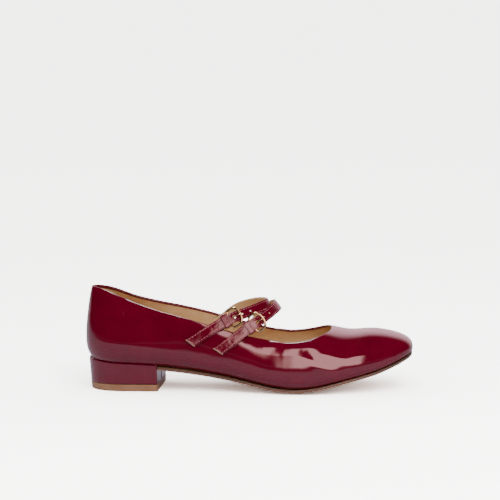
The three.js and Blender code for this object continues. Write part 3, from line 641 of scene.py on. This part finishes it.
SOCK_STEPS = 16
SOCK_WALL_STEPS = 40
SOCK_CROWN = 0.25
SOCK_ROUND = 0.6
SOCK_WALL_GAP = 0.5
SOCK_LOW_GAP = 0.9
FILLER_INSET = 1.4


# The sock lining: crowned over the filler, with a soft rim close to the lining of the wall
def make_insole():
    s = whole_outline()
    outside = outer_grid(s, UNDER_STEPS, SOCK_WALL_STEPS, 0)
    wall = outside - outward_normals(outside) * WALL
    ahead = (wall[..., 0] - s.x[:, None]) * s.dx[:, None]
    reach = ahead + (wall[..., 1] - swing(wall[..., 0])) * s.dy[:, None]
    heights = np.maximum.accumulate(wall[..., 2], axis=1)

    def height(r, climb):
        return underside_height(s.x + r * s.dx, r, s.edge) + climb

    def rim(climb, ease):
        def beyond(r):
            z = height(r, climb)
            return r - np.array([np.interp(z[i], heights[i, 2:], reach[i, 2:]) for i in range(len(z))])

        return crossing(np.zeros(len(s.x)), s.widest, beyond) - ease

    low = WALL + MARGIN_GAP
    top = low + INSOLE_THICKNESS
    edge = rim(top, SOCK_WALL_GAP)
    filler = s.widest - s.turn - LASTING_MARGIN - FILLER_INSET
    profile = []
    for k in range(SOCK_STEPS):
        r = edge * k / SOCK_STEPS
        profile.append((r, height(r, top + SOCK_CROWN * (1 - (k / SOCK_STEPS) ** 4))))
    for angle in (0.0, 0.33, 0.66, 1.0):
        a = angle * math.pi / 2
        profile.append((edge - SOCK_ROUND + SOCK_ROUND * math.sin(a),
                        height(edge, top - SOCK_ROUND * (1 - math.cos(a)))))
    low_edge = np.minimum(rim(low, SOCK_LOW_GAP), edge)
    profile += [(low_edge, height(low_edge, low)), (filler, height(filler, low)),
                (filler, height(filler, GAP / 2)), (0 * filler, height(0 * filler, GAP / 2))]
    plate("sock_lining", s, profile, [sock_tan], [0], True, "lining", "insole")


SOLE_STEPS = 8
SOLE_SIDE_STEPS = 90


def make_outsole():
    s = gather(forepart(HEEL_FRONT + GAP, SOLE_SIDE_STEPS))

    def top(r):
        return underside_height(s.x + r * s.dx, r, s.edge) - SOLE_GAP

    def bottom(r):
        return np.maximum(0, top(r) - SOLE_THICKNESS)

    inner = s.edge - EDGE_ROUND
    profile, looks = [], []
    for k in range(SOLE_STEPS + 1):
        r = inner * k / SOLE_STEPS
        profile.append((r, top(r)))
        looks.append(0)
    # The top round of the edge and the upper part of its side carry the painted shadow of the upper's
    # overhang
    for angle in (0.25, 0.5, 0.75, 1.0):
        a = angle * math.pi / 2
        r = inner + EDGE_ROUND * math.sin(a)
        profile.append((r, top(r) - EDGE_ROUND * (1 - math.cos(a))))
        looks.append(1)
    for angle in (0.0, 0.25, 0.5, 0.75):
        a = angle * math.pi / 2
        r = inner + EDGE_ROUND * math.cos(a)
        profile.append((r, bottom(r) + EDGE_ROUND * (1 - math.sin(a))))
        looks.append(0)
    for k in range(SOLE_STEPS + 1):
        r = inner * (1 - k / SOLE_STEPS)
        profile.append((r, bottom(r)))
        looks.append(0)
    plate("outsole_sheet", s, profile, [sole_tan, sole_edge_painted_shadow], looks, False, "sole", "outsole")


HEEL_SIDE_STEPS = 24
HEEL_WALL_STEPS = 12
TOP_PIECE_STEPS = 8
FOOT_FLARE = 0.25
FOOT_BEVEL = 0.3
CUP_SHARE = 0.85
NEARLY_ALL = 0.98


def heel_outline():
    return gather([
        (HEEL_FRONT, 0, 1), *straight(HEEL_FRONT, HEEL_PIVOT, HEEL_SIDE_STEPS, 1), (HEEL_PIVOT, 0, 1),
        *heel_round(),
        (HEEL_PIVOT, 0, -1), *straight(HEEL_PIVOT, HEEL_FRONT, HEEL_SIDE_STEPS, -1), (HEEL_FRONT, 0, -1),
    ])


def heel_reach(s, grow):
    back = HEEL_PIVOT - HEEL_SETBACK + HEEL_FLARE * grow
    half = HEEL_WIDTH / 2 + HEEL_FLARE * grow
    return np.where(s.dx == 0, half, oval_reach(s, back, half, HEEL_POWER))


def make_heel():
    s = heel_outline()
    low = TOP_PIECE_THICKNESS + GAP

    def seat(r):
        turned = np.clip((r - s.widest + s.turn) / s.turn, 0, NEARLY_ALL)
        climb = s.lift * (1 - (1 - turned ** UNDERCURVE) ** (1 / UNDERCURVE))
        cup = np.minimum(climb * CUP_SHARE, CUP_HEIGHT)
        return underside_height(s.x + r * s.dx, np.minimum(r, s.edge), s.edge) - GAP + cup

    outer = heel_reach(s, 1)
    foot = heel_reach(s, FOOT_FLARE)
    profile = []
    for k in range(SOLE_STEPS + 1):
        r = outer * NEARLY_ALL * k / SOLE_STEPS
        profile.append((r, seat(r)))
    for angle in np.linspace(0, math.pi / 2, 5):
        r = outer - EDGE_ROUND + EDGE_ROUND * math.sin(angle)
        profile.append((r, seat(r) - EDGE_ROUND * (1 - math.cos(angle))))
    side_top = seat(outer) - EDGE_ROUND
    for k in range(1, HEEL_WALL_STEPS + 1):
        share = k / HEEL_WALL_STEPS
        profile.append((outer + (foot - outer) * share, side_top + (low - side_top) * share))
    profile += [(foot - FOOT_BEVEL, low + 0 * foot), (0 * foot, low + 0 * foot)]
    plate("heel_block", s, profile, [heel_patent], [0], False, "patent", "heel")


def make_top_piece():
    s = heel_outline()
    top, foot = heel_reach(s, FOOT_FLARE), heel_reach(s, 0)
    zero = 0 * foot
    side_top = TOP_PIECE_THICKNESS - FOOT_BEVEL
    profile = [(zero, zero + TOP_PIECE_THICKNESS), (top - FOOT_BEVEL, zero + TOP_PIECE_THICKNESS),
               (top, zero + side_top)]
    for k in range(1, TOP_PIECE_STEPS + 1):
        share = k / TOP_PIECE_STEPS
        profile.append((top + (foot - top) * share, side_top + (EDGE_ROUND - side_top) * share + zero))
    for angle in np.linspace(math.pi / 2, 0, 5)[1:]:
        r = foot - EDGE_ROUND + EDGE_ROUND * math.sin(angle)
        profile.append((r, EDGE_ROUND * (1 - math.cos(angle)) + zero))
    profile.append((zero, zero))
    plate("heel_lift", s, profile, [sole_tan], [0], False, "sole", "heel_top_piece")


# A centripetal Catmull-Rom curve through points
def catmull(points):
    p = np.asarray(points, float)
    p = np.vstack([2 * p[0] - p[1], p, 2 * p[-1] - p[-2]])
    count = len(p) - 2

    def at(t):
        t = np.clip(np.atleast_1d(t), 0, 1) * (count - 1)
        i = np.minimum(t.astype(int), count - 2)
        w = (t - i)[:, None]
        a, b, c, d = p[i], p[i + 1], p[i + 2], p[i + 3]
        d0, d1, d2 = (np.linalg.norm(v, axis=1, keepdims=True) ** 0.5 for v in (b - a, c - b, d - c))
        t1 = ((b - a) / d0 - (c - a) / (d0 + d1) + (c - b) / d1) * d1
        t2 = ((c - b) / d1 - (d - b) / (d1 + d2) + (d - c) / d2) * d1
        return b + t1 * w + (3 * (c - b) - 2 * t1 - t2) * w ** 2 + (2 * (b - c) + t1 + t2) * w ** 3

    return at


def unit(v):
    return v / np.linalg.norm(v, axis=-1, keepdims=True)


PATH_STEPS = 400
SMALL_STEP = 1e-4


# The line of a strap, by the distance s from the middle of the buckle
def strap_line(outer_end, over, inner_end, core):
    half = STRAP_THICKNESS / 2
    on_wall = [wall_point(a * LENGTH, h * BACK_HEIGHT, "outer", off + half) for a, h, off in outer_end]
    in_wall = [wall_point(a * LENGTH, h * BACK_HEIGHT, "inner", -WALL - off - half)
               for a, h, off in inner_end]
    middle = np.array([core[0] * LENGTH, 0, core[1] * BACK_HEIGHT])
    in_air = []
    for a, h, side in over:
        point = np.array([a * LENGTH, side * BALL_WIDTH / 2, h * BACK_HEIGHT])
        in_air.append((point, unit(point - middle)))
    both = [*on_wall, *in_air, *in_wall]
    path, face = catmull([p for p, _ in both]), catmull([n for _, n in both])
    t = np.linspace(0, 1, PATH_STEPS + 1)
    lengths = np.concatenate([[0], np.cumsum(np.linalg.norm(np.diff(path(t), axis=0), axis=1))])
    total = lengths[-1]
    buckle_at = lengths[round((len(on_wall) + 1) / (len(both) - 1) * PATH_STEPS)]

    def frame_at(s):
        u = np.interp(np.clip(buckle_at + np.atleast_1d(s), 1e-6, total - 1e-6), lengths, t)
        along = unit(path(np.minimum(u + SMALL_STEP, 1)) - path(np.maximum(u - SMALL_STEP, 0)))
        normal = face(u)
        normal = unit(normal - along * np.sum(normal * along, axis=1, keepdims=True))
        return SimpleNamespace(p=path(u), along=along, normal=normal, across=np.cross(normal, along))

    return SimpleNamespace(frame=frame_at, start=-buckle_at, end=total - buckle_at)


def beside(f, up, wide, ahead=0):
    return f.p + f.normal * up + f.across * wide + f.along * ahead


STRAP_STEPS = 260
STRAP_RIM = 0.28
STRAP_CROWN = 0.14
STITCH_INSET = 1.25
GROOVE_DEPTH = 0.13
GROOVE_HALF = 0.26
PATENT_EDGE = 0.05
SLANT_RUN = 5
SKIVE = 0.55
SKIVE_RUN = 3


def strap_top(wide):
    half, w = STRAP_THICKNESS / 2, STRAP_WIDTH / 2
    groove = GROOVE_DEPTH * np.exp(-((np.abs(wide) - (w - STITCH_INSET)) / GROOVE_HALF) ** 2)
    return half - STRAP_CROWN * (wide / w) ** 2 - groove


def slant_at(s, line):
    return -TIP_SLANT / (STRAP_WIDTH / 2) * np.clip(1 - (s - line.start) / SLANT_RUN, 0, 1)


# A band of two layers along a strap: burgundy above, tan below, tan at the cut edges
def make_strap(name, line):
    s = np.linspace(line.start, line.end, STRAP_STEPS)
    f = line.frame(s)
    half, w, r = STRAP_THICKNESS / 2, STRAP_WIDTH / 2, STRAP_RIM
    rim_top = strap_top(w - r)
    rim = [(rim_top - r * (1 - math.cos(a)), w - r + r * math.sin(a))
           for a in np.linspace(0, math.pi / 2, 5)[1:]]
    profile = [(strap_top(wide), wide) for wide in np.linspace(-1, 1, 37) * (w - r)] + rim
    looks = [0] * len(profile)
    profile += [(PATENT_EDGE, w), (PATENT_EDGE - 0.05, w - 0.16), (PATENT_EDGE - 0.12, w - 0.1)]
    looks += [2, 2, 2]
    underside = [(0.2 - half, w - 0.1)] + [(-half, wide) for wide in np.linspace(1, -1, 9) * (w - 0.35)]
    profile += underside
    looks += [1] * len(underside)
    edge = [(0.05 - half, 0.3 - w), (0.05 - half, 0.1 - w), (0.2 - half, -w), (PATENT_EDGE, -w)]
    profile += edge + [(up, -wide) for up, wide in rim[::-1]]
    looks += [0] * (len(edge) + len(rim))
    slant = slant_at(s, line)[:, None]
    skive = SKIVE * np.clip(1 - (s - line.start) / SKIVE_RUN, 0, 1)[:, None]
    points = np.stack([
        beside(f, up, wide, wide * slant + skive * (up + half)) for up, wide in profile], axis=1)
    count = len(profile)
    faces, column = grid_faces(STRAP_STEPS, count, False, True)
    face_looks = [looks[j] for j in column] + [2, 2]
    faces += [list(range(count)), list(range((STRAP_STEPS - 1) * count, STRAP_STEPS * count))[::-1]]
    obj = piece(name, points.reshape(-1, 3), faces, [strap_patent, lining_tan, raw_edge], face_looks)
    for k, radius in [(0, PRONG_HOLE_RADIUS), (-2, HOLE_RADIUS), (1, HOLE_RADIUS), (2, HOLE_RADIUS)]:
        punch(obj, line, PRONG_HOLE_AT + k * HOLE_PITCH, radius)
    return obj


PUNCH_SIDES = 28
PUNCH_REACH = 3
PUNCH_RIM = 0.14
PUNCH_DEPTH = 0.12


# Cuts a round hole through a strap, with a rim pressed in by the punch
def punch(obj, line, s, radius):
    f = line.frame(s)
    angle = 2 * np.pi * np.arange(PUNCH_SIDES) / PUNCH_SIDES
    round_hole = np.cos(angle)[:, None] * f.across + np.sin(angle)[:, None] * f.along
    top = strap_top(0)
    levels = [(-PUNCH_REACH, 0), (top - PUNCH_DEPTH, 0), (top + 0.05, PUNCH_RIM), (PUNCH_REACH, PUNCH_RIM)]
    points = np.stack([f.p + f.normal * up + (radius + wider) * round_hole for up, wider in levels])
    faces, _ = grid_faces(4, PUNCH_SIDES, False, True)
    faces += [list(range(PUNCH_SIDES))[::-1], list(range(3 * PUNCH_SIDES, 4 * PUNCH_SIDES))]
    cutter = piece("cutter", points.reshape(-1, 3), faces, [raw_edge], None, False)
    modifier = obj.modifiers.new("hole", "BOOLEAN")
    modifier.operation = "DIFFERENCE"
    modifier.solver = "EXACT"
    modifier.material_mode = "TRANSFER"
    modifier.object = cutter
    bpy.context.view_layer.update()
    cut = bpy.data.meshes.new_from_object(obj.evaluated_get(bpy.context.evaluated_depsgraph_get()))
    obj.modifiers.clear()
    obj.data = cut
    bpy.data.objects.remove(cutter)


# Separate stitches of thread along points: each a grain that lies half in the leather
def make_stitches(name, centre, along, normal, length, radius):
    turns, rounds = 7, 8
    side = np.cross(normal, along)
    points, faces = [], []
    for p, a, n, b in zip(centre, along, normal, side):
        first = len(points)
        for i in range(1, turns):
            t = math.pi * i / turns
            for k in range(rounds):
                u = 2 * math.pi * k / rounds
                out = n * math.cos(u) + b * math.sin(u)
                points.append(p - a * (math.cos(t) * length / 2) + out * (radius * math.sin(t) ** 0.6))
        rows, _ = grid_faces(turns - 1, rounds, False, True, first)
        end = first + (turns - 2) * rounds
        faces += [*rows, list(range(first, first + rounds))[::-1], list(range(end, end + rounds))]
    return piece(name, np.array(points), faces, [thread])


# First stitch of the rows along the strap and place of the one across it, from its tip
FIRST_STITCH = 2.4
CROSS_STITCHES = 1.4
STITCH_PITCH = 2.3
STITCH_LENGTH = 1.5
STITCH_RADIUS = 0.2


# Two rows along the strap and one across its tip
def stitch_strap(name, line):
    w = STRAP_WIDTH / 2 - STITCH_INSET
    centre, along, normal = [], [], []
    for wide in (-w, w):
        s = np.arange(line.start + FIRST_STITCH, line.end - 1, STITCH_PITCH)
        f = line.frame(s)
        centre.append(beside(f, strap_top(wide) + 0.04, wide, (wide * slant_at(s, line))[:, None]))
        along.append(f.along)
        normal.append(f.normal)
    wide = np.linspace(-w, w, 5)[1:-1, None]
    s = np.full(len(wide), line.start + CROSS_STITCHES)
    f = line.frame(s)
    slant = slant_at(s, line)[:, None]
    centre.append(beside(f, strap_top(wide) + 0.02, wide, wide * slant))
    along.append(unit(f.across + f.along * slant))
    normal.append(f.normal)
    rows = (np.vstack(v) for v in (centre, along, normal))
    return make_stitches(name, *rows, STITCH_LENGTH, STITCH_RADIUS)


# Wire: a tube through points, closed or with round ends. flat: its height as a share of its width
def tube(name, centre, up, radius, sides, material, closed, flat=1.0):
    count = len(centre)
    if closed:
        along = unit(np.roll(centre, -1, axis=0) - np.roll(centre, 1, axis=0))
    else:
        along = unit(np.gradient(centre, axis=0))
    out = unit(np.cross(along, up))
    rise = np.cross(out, along)
    angle = 2 * np.pi * np.arange(sides) / sides
    radius = np.broadcast_to(radius, (count,))[:, None, None]
    points = centre[:, None] + radius * (out[:, None] * np.cos(angle)[None, :, None]
                                         + rise[:, None] * (flat * np.sin(angle))[None, :, None])
    faces, _ = grid_faces(count, sides, closed, True)
    if not closed:
        faces += [list(range(sides))[::-1], list(range((count - 1) * sides, count * sides))]
    return piece(name, points.reshape(-1, 3), faces, [material])


SLEEVE_RADIUS = BUCKLE_WIRE + BAR_CLEARANCE + TAB_THICKNESS
BAR_DEPTH = -(STRAP_THICKNESS / 2 + GAP + SLEEVE_RADIUS)
BOW_LIFT = STRAP_THICKNESS / 2 + 3 * GAP + BUCKLE_WIRE


def buckle_frame(line):
    bar = beside(line.frame(-BAR_BACK), BAR_DEPTH, 0)[0]
    bow = beside(line.frame(BOW_FRONT), BOW_LIFT, 0)[0]
    reach = np.linalg.norm(bow - bar)
    ahead = (bow - bar) / reach
    across = line.frame(0).across[0]
    across = unit(across - ahead * np.dot(across, ahead))
    return SimpleNamespace(bar=bar, ahead=ahead, across=across, up=np.cross(ahead, across), reach=reach)


WIRE_STEPS = 160


def make_buckle(name, line):
    b = buckle_frame(line)
    half = BUCKLE_WIDTH / 2 - BUCKLE_WIRE
    angle = 2 * np.pi * (np.arange(WIRE_STEPS) + 0.5) / WIRE_STEPS
    c, s = np.cos(angle), np.sin(angle)
    power = np.where(c < 0, BAR_SQUARENESS, 1)
    ahead = b.reach / 2 * (1 + np.sign(c) * np.abs(c) ** power)
    aside = half * np.sign(s) * np.abs(s) ** power
    centre = b.bar + ahead[:, None] * b.ahead + aside[:, None] * b.across
    return tube(name, centre, b.up, WIRE_WIDE, 20, gold, True, WIRE_TALL / WIRE_WIDE)


TIP_STEPS = 6


# The prong: an eye round the bar, then a pin down through the strap's hole and up over the bow
def make_prong(name, line):
    b = buckle_frame(line)
    eye = BUCKLE_WIRE + BAR_CLEARANCE + PRONG_RADIUS
    rest = BOW_LIFT + BUCKLE_WIRE + GAP + PRONG_RADIUS
    turns = np.linspace(-1.75 * np.pi, 0, 40)
    loop = b.bar + eye * (np.cos(turns)[:, None] * b.ahead - np.sin(turns)[:, None] * b.up)
    route = [(PRONG_HOLE_AT - 0.9, -1.8), (PRONG_HOLE_AT, 0), (PRONG_HOLE_AT + 0.8, 1.6),
             (BOW_FRONT / 2, rest - 0.5), (BOW_FRONT, rest), (BOW_FRONT + 1.4, rest - 0.2)]
    stops = [b.bar + b.ahead * eye, *(beside(line.frame(s), up, 0)[0] for s, up in route)]
    centre = np.vstack([loop[:-1], catmull(stops)(np.linspace(0, 1, 60))])
    radius = np.full(len(centre), PRONG_RADIUS)
    radius[-TIP_STEPS:] *= np.cos(np.linspace(0, 1.35, TIP_STEPS))
    return tube(name, centre, np.broadcast_to(b.across, centre.shape), radius, 12, gold, False)


def tab_depth(s, collar_s):
    high = STRAP_THICKNESS / 2 + 2 * GAP + TAB_THICKNESS / 2
    deep = STRAP_THICKNESS + WALL + 5 * GAP + TAB_THICKNESS
    return -high - (deep - high) * smooth(-s, BAR_BACK + 2, -collar_s - STRAP_WIDTH / 2)


def collar_crossing(line):
    low, high = np.array([line.start]), np.array([-BAR_BACK])
    return crossing(low, high, lambda s: line.frame(s).p[:, 2]
                    - BACK_HEIGHT * collar_height(line.frame(s).p[:, 0] / LENGTH))[0]


KEEPER_STEPS = 160
KEEPER_SQUARENESS = 0.27
KEEPER_ROUND = 0.25
KEEPER_CROWN = 0.06
KEEPER_SEAM = 0.95
KEEPER_GROOVE = 0.12
KEEPER_GROOVE_HALF = 0.22
KEEPER_STITCH_PITCH = 1.5
KEEPER_STITCH_LENGTH = 1.1
KEEPER_STITCH_RADIUS = 0.15


# A loop round strap and tab, close behind the buckle's bar: a band of leather with soft edges
def make_keeper(name, line, collar_s):
    at = -(BAR_BACK + WIRE_WIDE + GAP + KEEPER_WIDTH / 2)
    f = line.frame(at)
    top = STRAP_THICKNESS / 2 + KEEPER_SLACK
    under_tab = tab_depth(at - KEEPER_WIDTH / 2, collar_s) - TAB_THICKNESS / 2
    bottom = min(under_tab, BAR_DEPTH - SLEEVE_RADIUS) - GAP
    half = STRAP_WIDTH / 2 + 1.5 * GAP
    middle, tall = (top + bottom) / 2, (top - bottom) / 2
    angle = 2 * np.pi * np.arange(KEEPER_STEPS) / KEEPER_STEPS
    c, s = np.cos(angle)[:, None], np.sin(angle)[:, None]
    wide = np.sign(c) * np.abs(c) ** KEEPER_SQUARENESS
    high = np.sign(s) * np.abs(s) ** KEEPER_SQUARENESS
    e, r, thick = KEEPER_WIDTH / 2, KEEPER_ROUND, KEEPER_THICKNESS
    profile = [(0, r - e), (0, e - r), (r, e), (thick - r, e),
               (thick - 0.3 * r, e - 0.3 * r), (thick, e - r)]
    for share in np.linspace(1, -1, 15)[1:-1]:
        from_seam = abs(share) * (e - r) - (e - KEEPER_SEAM)
        groove = KEEPER_GROOVE * math.exp(-(from_seam / KEEPER_GROOVE_HALF) ** 2)
        profile.append((thick + KEEPER_CROWN * (1 - share * share) - groove, share * (e - r)))
    profile += [(thick, r - e), (thick - 0.3 * r, 0.3 * r - e), (thick - r, -e), (r, -e)]
    points = np.stack([beside(f, middle + (tall + grow) * high, (half + grow) * wide, ahead)
                       for grow, ahead in profile], axis=1)
    faces, _ = grid_faces(KEEPER_STEPS, len(profile), True, True)
    loop = piece(name, points.reshape(-1, 3), faces, [strap_patent])
    centre = [beside(f, top + thick, w, ahead)[0] for ahead in (KEEPER_SEAM - e, e - KEEPER_SEAM)
              for w in np.arange(-half + 1, half - 0.6, KEEPER_STITCH_PITCH)]
    along, normal = [f.across[0]] * len(centre), [f.normal[0]] * len(centre)
    stitches = make_stitches(name + "_stitches", centre, along, normal,
                             KEEPER_STITCH_LENGTH, KEEPER_STITCH_RADIUS)
    return loop, stitches


SEAM_STEPS = 24
SEAM_TOP = 19
SEAM_RADIUS = 0.24
SEAM_WAVER = 0.3


# A narrow dark seam down the middle of the heel's front, where its cover meets
def make_heel_seam():
    heights = np.linspace(TOP_PIECE_THICKNESS + GAP + 0.2, SEAM_TOP, SEAM_STEPS)
    y = SEAM_WAVER * np.sin(heights / 2) + swing(HEEL_FRONT)
    centre = np.stack([np.full(SEAM_STEPS, HEEL_FRONT + 0.02), y, heights], axis=1)
    forward = np.tile([1.0, 0.0, 0.0], (SEAM_STEPS, 1))
    settle(tube("heel_seam", centre, forward, SEAM_RADIUS, 8, seam_dark, False), "patent")


make_upper()
make_insole()
make_outsole()
make_heel()
make_top_piece()
make_heel_seam()
for where, route in STRAPS.items():
    line = strap_line(**route)
    collar_s = collar_crossing(line)
    settle(make_strap(f"strap_{where}_leather", line), "patent", f"strap_{where}")
    settle(stitch_strap(f"strap_{where}_stitches", line), "patent")
    settle(make_buckle(f"buckle_{where}_wire", line), "metal", f"buckle_{where}")
    settle(make_prong(f"prong_{where}_pin", line), "metal", f"prong_{where}")
    loop, stitches = make_keeper(f"keeper_{where}_loop", line, collar_s)
    settle(loop, "patent", f"keeper_{where}")
    settle(stitches, "patent")
    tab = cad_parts[f"tab_{where}"]
    tab.data.materials.clear()
    tab.data.materials.append(strap_patent)

TABLE_EDGE = -0.21
TABLE_FADE = 0.12
TABLE_COLOUR = (0.80, 0.76, 0.90)
DARK_COLOUR = (0.05, 0.045, 0.05)
OVEREXPOSED = (5.7, 5.7, 5.55, 1)
FLOOR_REACH = 200

# The floor: white, and brighter to the camera than in the mirror of the patent, as an overexposed
# studio floor is. In the mirror it darkens beyond the table's edge in front of the shoe.
floor_material, tree, shader = new_material("floor_white")
tree.nodes.remove(shader)
position = add_node(tree, "NewGeometry", {}).outputs["Position"]
toward_camera = add_node(tree, "SeparateXYZ", {"Vector": position}).outputs["Y"]
on_table = smooth_range(tree, toward_camera, TABLE_EDGE - TABLE_FADE, TABLE_EDGE)
table = colour_ramp(tree, on_table, [(0, DARK_COLOUR), (1, TABLE_COLOUR)])
mix = add_node(tree, "MixShader", {
    "Fac": add_node(tree, "LightPath", {}).outputs["Is Camera Ray"],
    1: add_node(tree, "BsdfDiffuse", {"Color": table}).outputs["BSDF"],
    2: add_node(tree, "BsdfDiffuse", {"Color": OVEREXPOSED}).outputs["BSDF"],
})
tree.links.new(mix.outputs["Shader"], tree.nodes["Material Output"].inputs["Surface"])
floor_mesh = bpy.data.meshes.new("floor")
corners = [(x * FLOOR_REACH, y * FLOOR_REACH, 0) for x, y in ((-1, -1), (1, -1), (1, 1), (-1, 1))]
floor_mesh.from_pydata(corners, [], [(0, 1, 2, 3)])
floor_mesh.materials.append(floor_material)
floor = bpy.data.objects.new("floor", floor_mesh)
collection.objects.link(floor)

BACKDROP_GLOW = 3.2
BACKDROP_TINT = np.array([1, 0.60, 0.68])

# A bright room for soft light, which the patent mirrors as dark above and light near the floor
world = bpy.data.worlds.new("studio")
bpy.context.scene.world = world
world.use_nodes = True
tree = world.node_tree
tree.nodes.clear()
direction = add_node(tree, "TexCoord", {}).outputs["Generated"]
split = add_node(tree, "SeparateXYZ", {"Vector": direction}).outputs
sky = colour_ramp(tree, split["Z"], [(0, (0.25, 0.24, 0.28)), (0.08, (0.012, 0.012, 0.012))], "EASE")
# A pale backdrop behind the shoe, mirrored by the crest of the vamp and by the toe
stops = [(0, (0.55, 0.38, 0.42)), (0.85, (0, 0, 0))]
stops += [(height, level * BACKDROP_TINT) for height, level in ((0.22, 0.62), (0.42, 0.8), (0.60, 0.7))]
backdrop = colour_ramp(tree, split["Z"], stops, "EASE")
behind = {0: smooth_range(tree, split["Y"], 0.45, 0.85), 1: BACKDROP_GLOW}
glow = add_node(tree, "Math", behind, "MULTIPLY").outputs["Value"]
shine = add_node(tree, "VectorMath", {"Vector": backdrop, "Scale": glow}, "SCALE").outputs["Vector"]
total = add_node(tree, "VectorMath", {0: sky, 1: shine}, "ADD").outputs["Vector"]
bright, mirrored, seen = (
    add_node(tree, "Background", {"Color": colour, "Strength": strength}).outputs["Background"]
    for colour, strength in (((0.93, 0.93, 0.93, 1), 0.9), (total, 1), ((0.99, 0.99, 0.975, 1), 4.6)))
path = add_node(tree, "LightPath", {}).outputs
mix = add_node(tree, "MixShader", {"Fac": path["Is Glossy Ray"], 1: bright, 2: mirrored})
mix = add_node(tree, "MixShader", {"Fac": path["Is Camera Ray"], 1: mix.outputs["Shader"], 2: seen})
add_node(tree, "OutputWorld", {"Surface": mix.outputs["Shader"]})


# A softbox that fades towards its edges. fade: share of the width and height that fades out
def softbox(name, location, target, width, height, watts, fade=None, colour=(1, 1, 1)):
    light = bpy.data.lights.new(name, "AREA")
    light.color = colour
    light.shape = "RECTANGLE"
    light.size = width
    light.size_y = height
    light.energy = watts
    if fade:
        light.use_nodes = True
        tree = light.node_tree
        spot = add_node(tree, "NewGeometry", {}).outputs["Parametric"]
        split = add_node(tree, "SeparateXYZ", {"Vector": spot}).outputs
        strength = 1.0
        for axis, (low, high) in zip("XY", fade):
            for start, end in ((0, low), (1, 1 - high)):
                if start != end:
                    factors = {0: strength, 1: smooth_range(tree, split[axis], start, end)}
                    strength = add_node(tree, "Math", factors, "MULTIPLY").outputs["Value"]
        tree.links.new(strength, tree.nodes["Emission"].inputs["Strength"])
    obj = bpy.data.objects.new(name, light)
    obj.location = location
    obj.rotation_euler = (Vector(target) - Vector(location)).to_track_quat("-Z", "Y").to_euler()
    collection.objects.link(obj)
    return obj


# From the shoe: azimuth from the outer side towards the toe, and height, in degrees
def heading(azimuth, elevation):
    a, e = math.radians(azimuth), math.radians(elevation)
    return Vector((math.sin(a) * math.cos(e), -math.cos(a) * math.cos(e), math.sin(e)))


# Softboxes that only the gloss shows, close by so that the heel's side stays dark
PINK = (1.0, 0.57, 0.55)
mirrored_lights = [
    softbox("softbox_low", (0.1625, -0.535, 0.168), (0.1625, 0, 0.168), 0.445, 0.33, 5.1,
            ((0.15, 0.12), (0.12, 0)), PINK),
    softbox("softbox_high", (0, -0.535, 0.603), (0, 0, 0.603), 0.12, 0.54, 2.3,
            ((0.20, 0.35), (0, 0.25)), PINK),
    softbox("softbox_collar", (-0.13, 0.19, 0.75), (-0.13, 0.19001, 0), 0.36, 0.47, 15,
            ((0.15, 0.3), (0.1, 0.1))),
]
for light in mirrored_lights:
    light.visible_diffuse = False

# A large softbox for the shading and the shadow, which the gloss doesn't show
fill_at = Vector((0.03, -0.03, 0.03)) + 1.3 * heading(20, 42)
fill = softbox("softbox_fill", fill_at, (0.03, 0, 0.03), 0.9, 0.9, 10)
fill.visible_glossy = False

# The camera stands where the photograph was taken
AZIMUTH, ELEVATION, ROLL = 5.5, 7.2, math.radians(-0.6)
TARGET = Vector((0.0017, -0.0015, 0.1059))
DISTANCE = 1.6
LENS = 150.9
back = heading(AZIMUTH, ELEVATION)
right = Vector((0, 0, 1)).cross(back).normalized()
up = back.cross(right)
rolled_right = right * math.cos(ROLL) + up * math.sin(ROLL)
rolled_up = up * math.cos(ROLL) - right * math.sin(ROLL)
turn = Matrix((rolled_right, rolled_up, back)).transposed().to_4x4()
camera_data = bpy.data.cameras.new("camera")
camera_data.sensor_fit = "HORIZONTAL"
camera_data.sensor_width = 36
camera_data.lens = LENS
camera = bpy.data.objects.new("camera", camera_data)
camera.matrix_world = Matrix.Translation(TARGET + back * DISTANCE) @ turn
collection.objects.link(camera)
bpy.context.scene.camera = camera
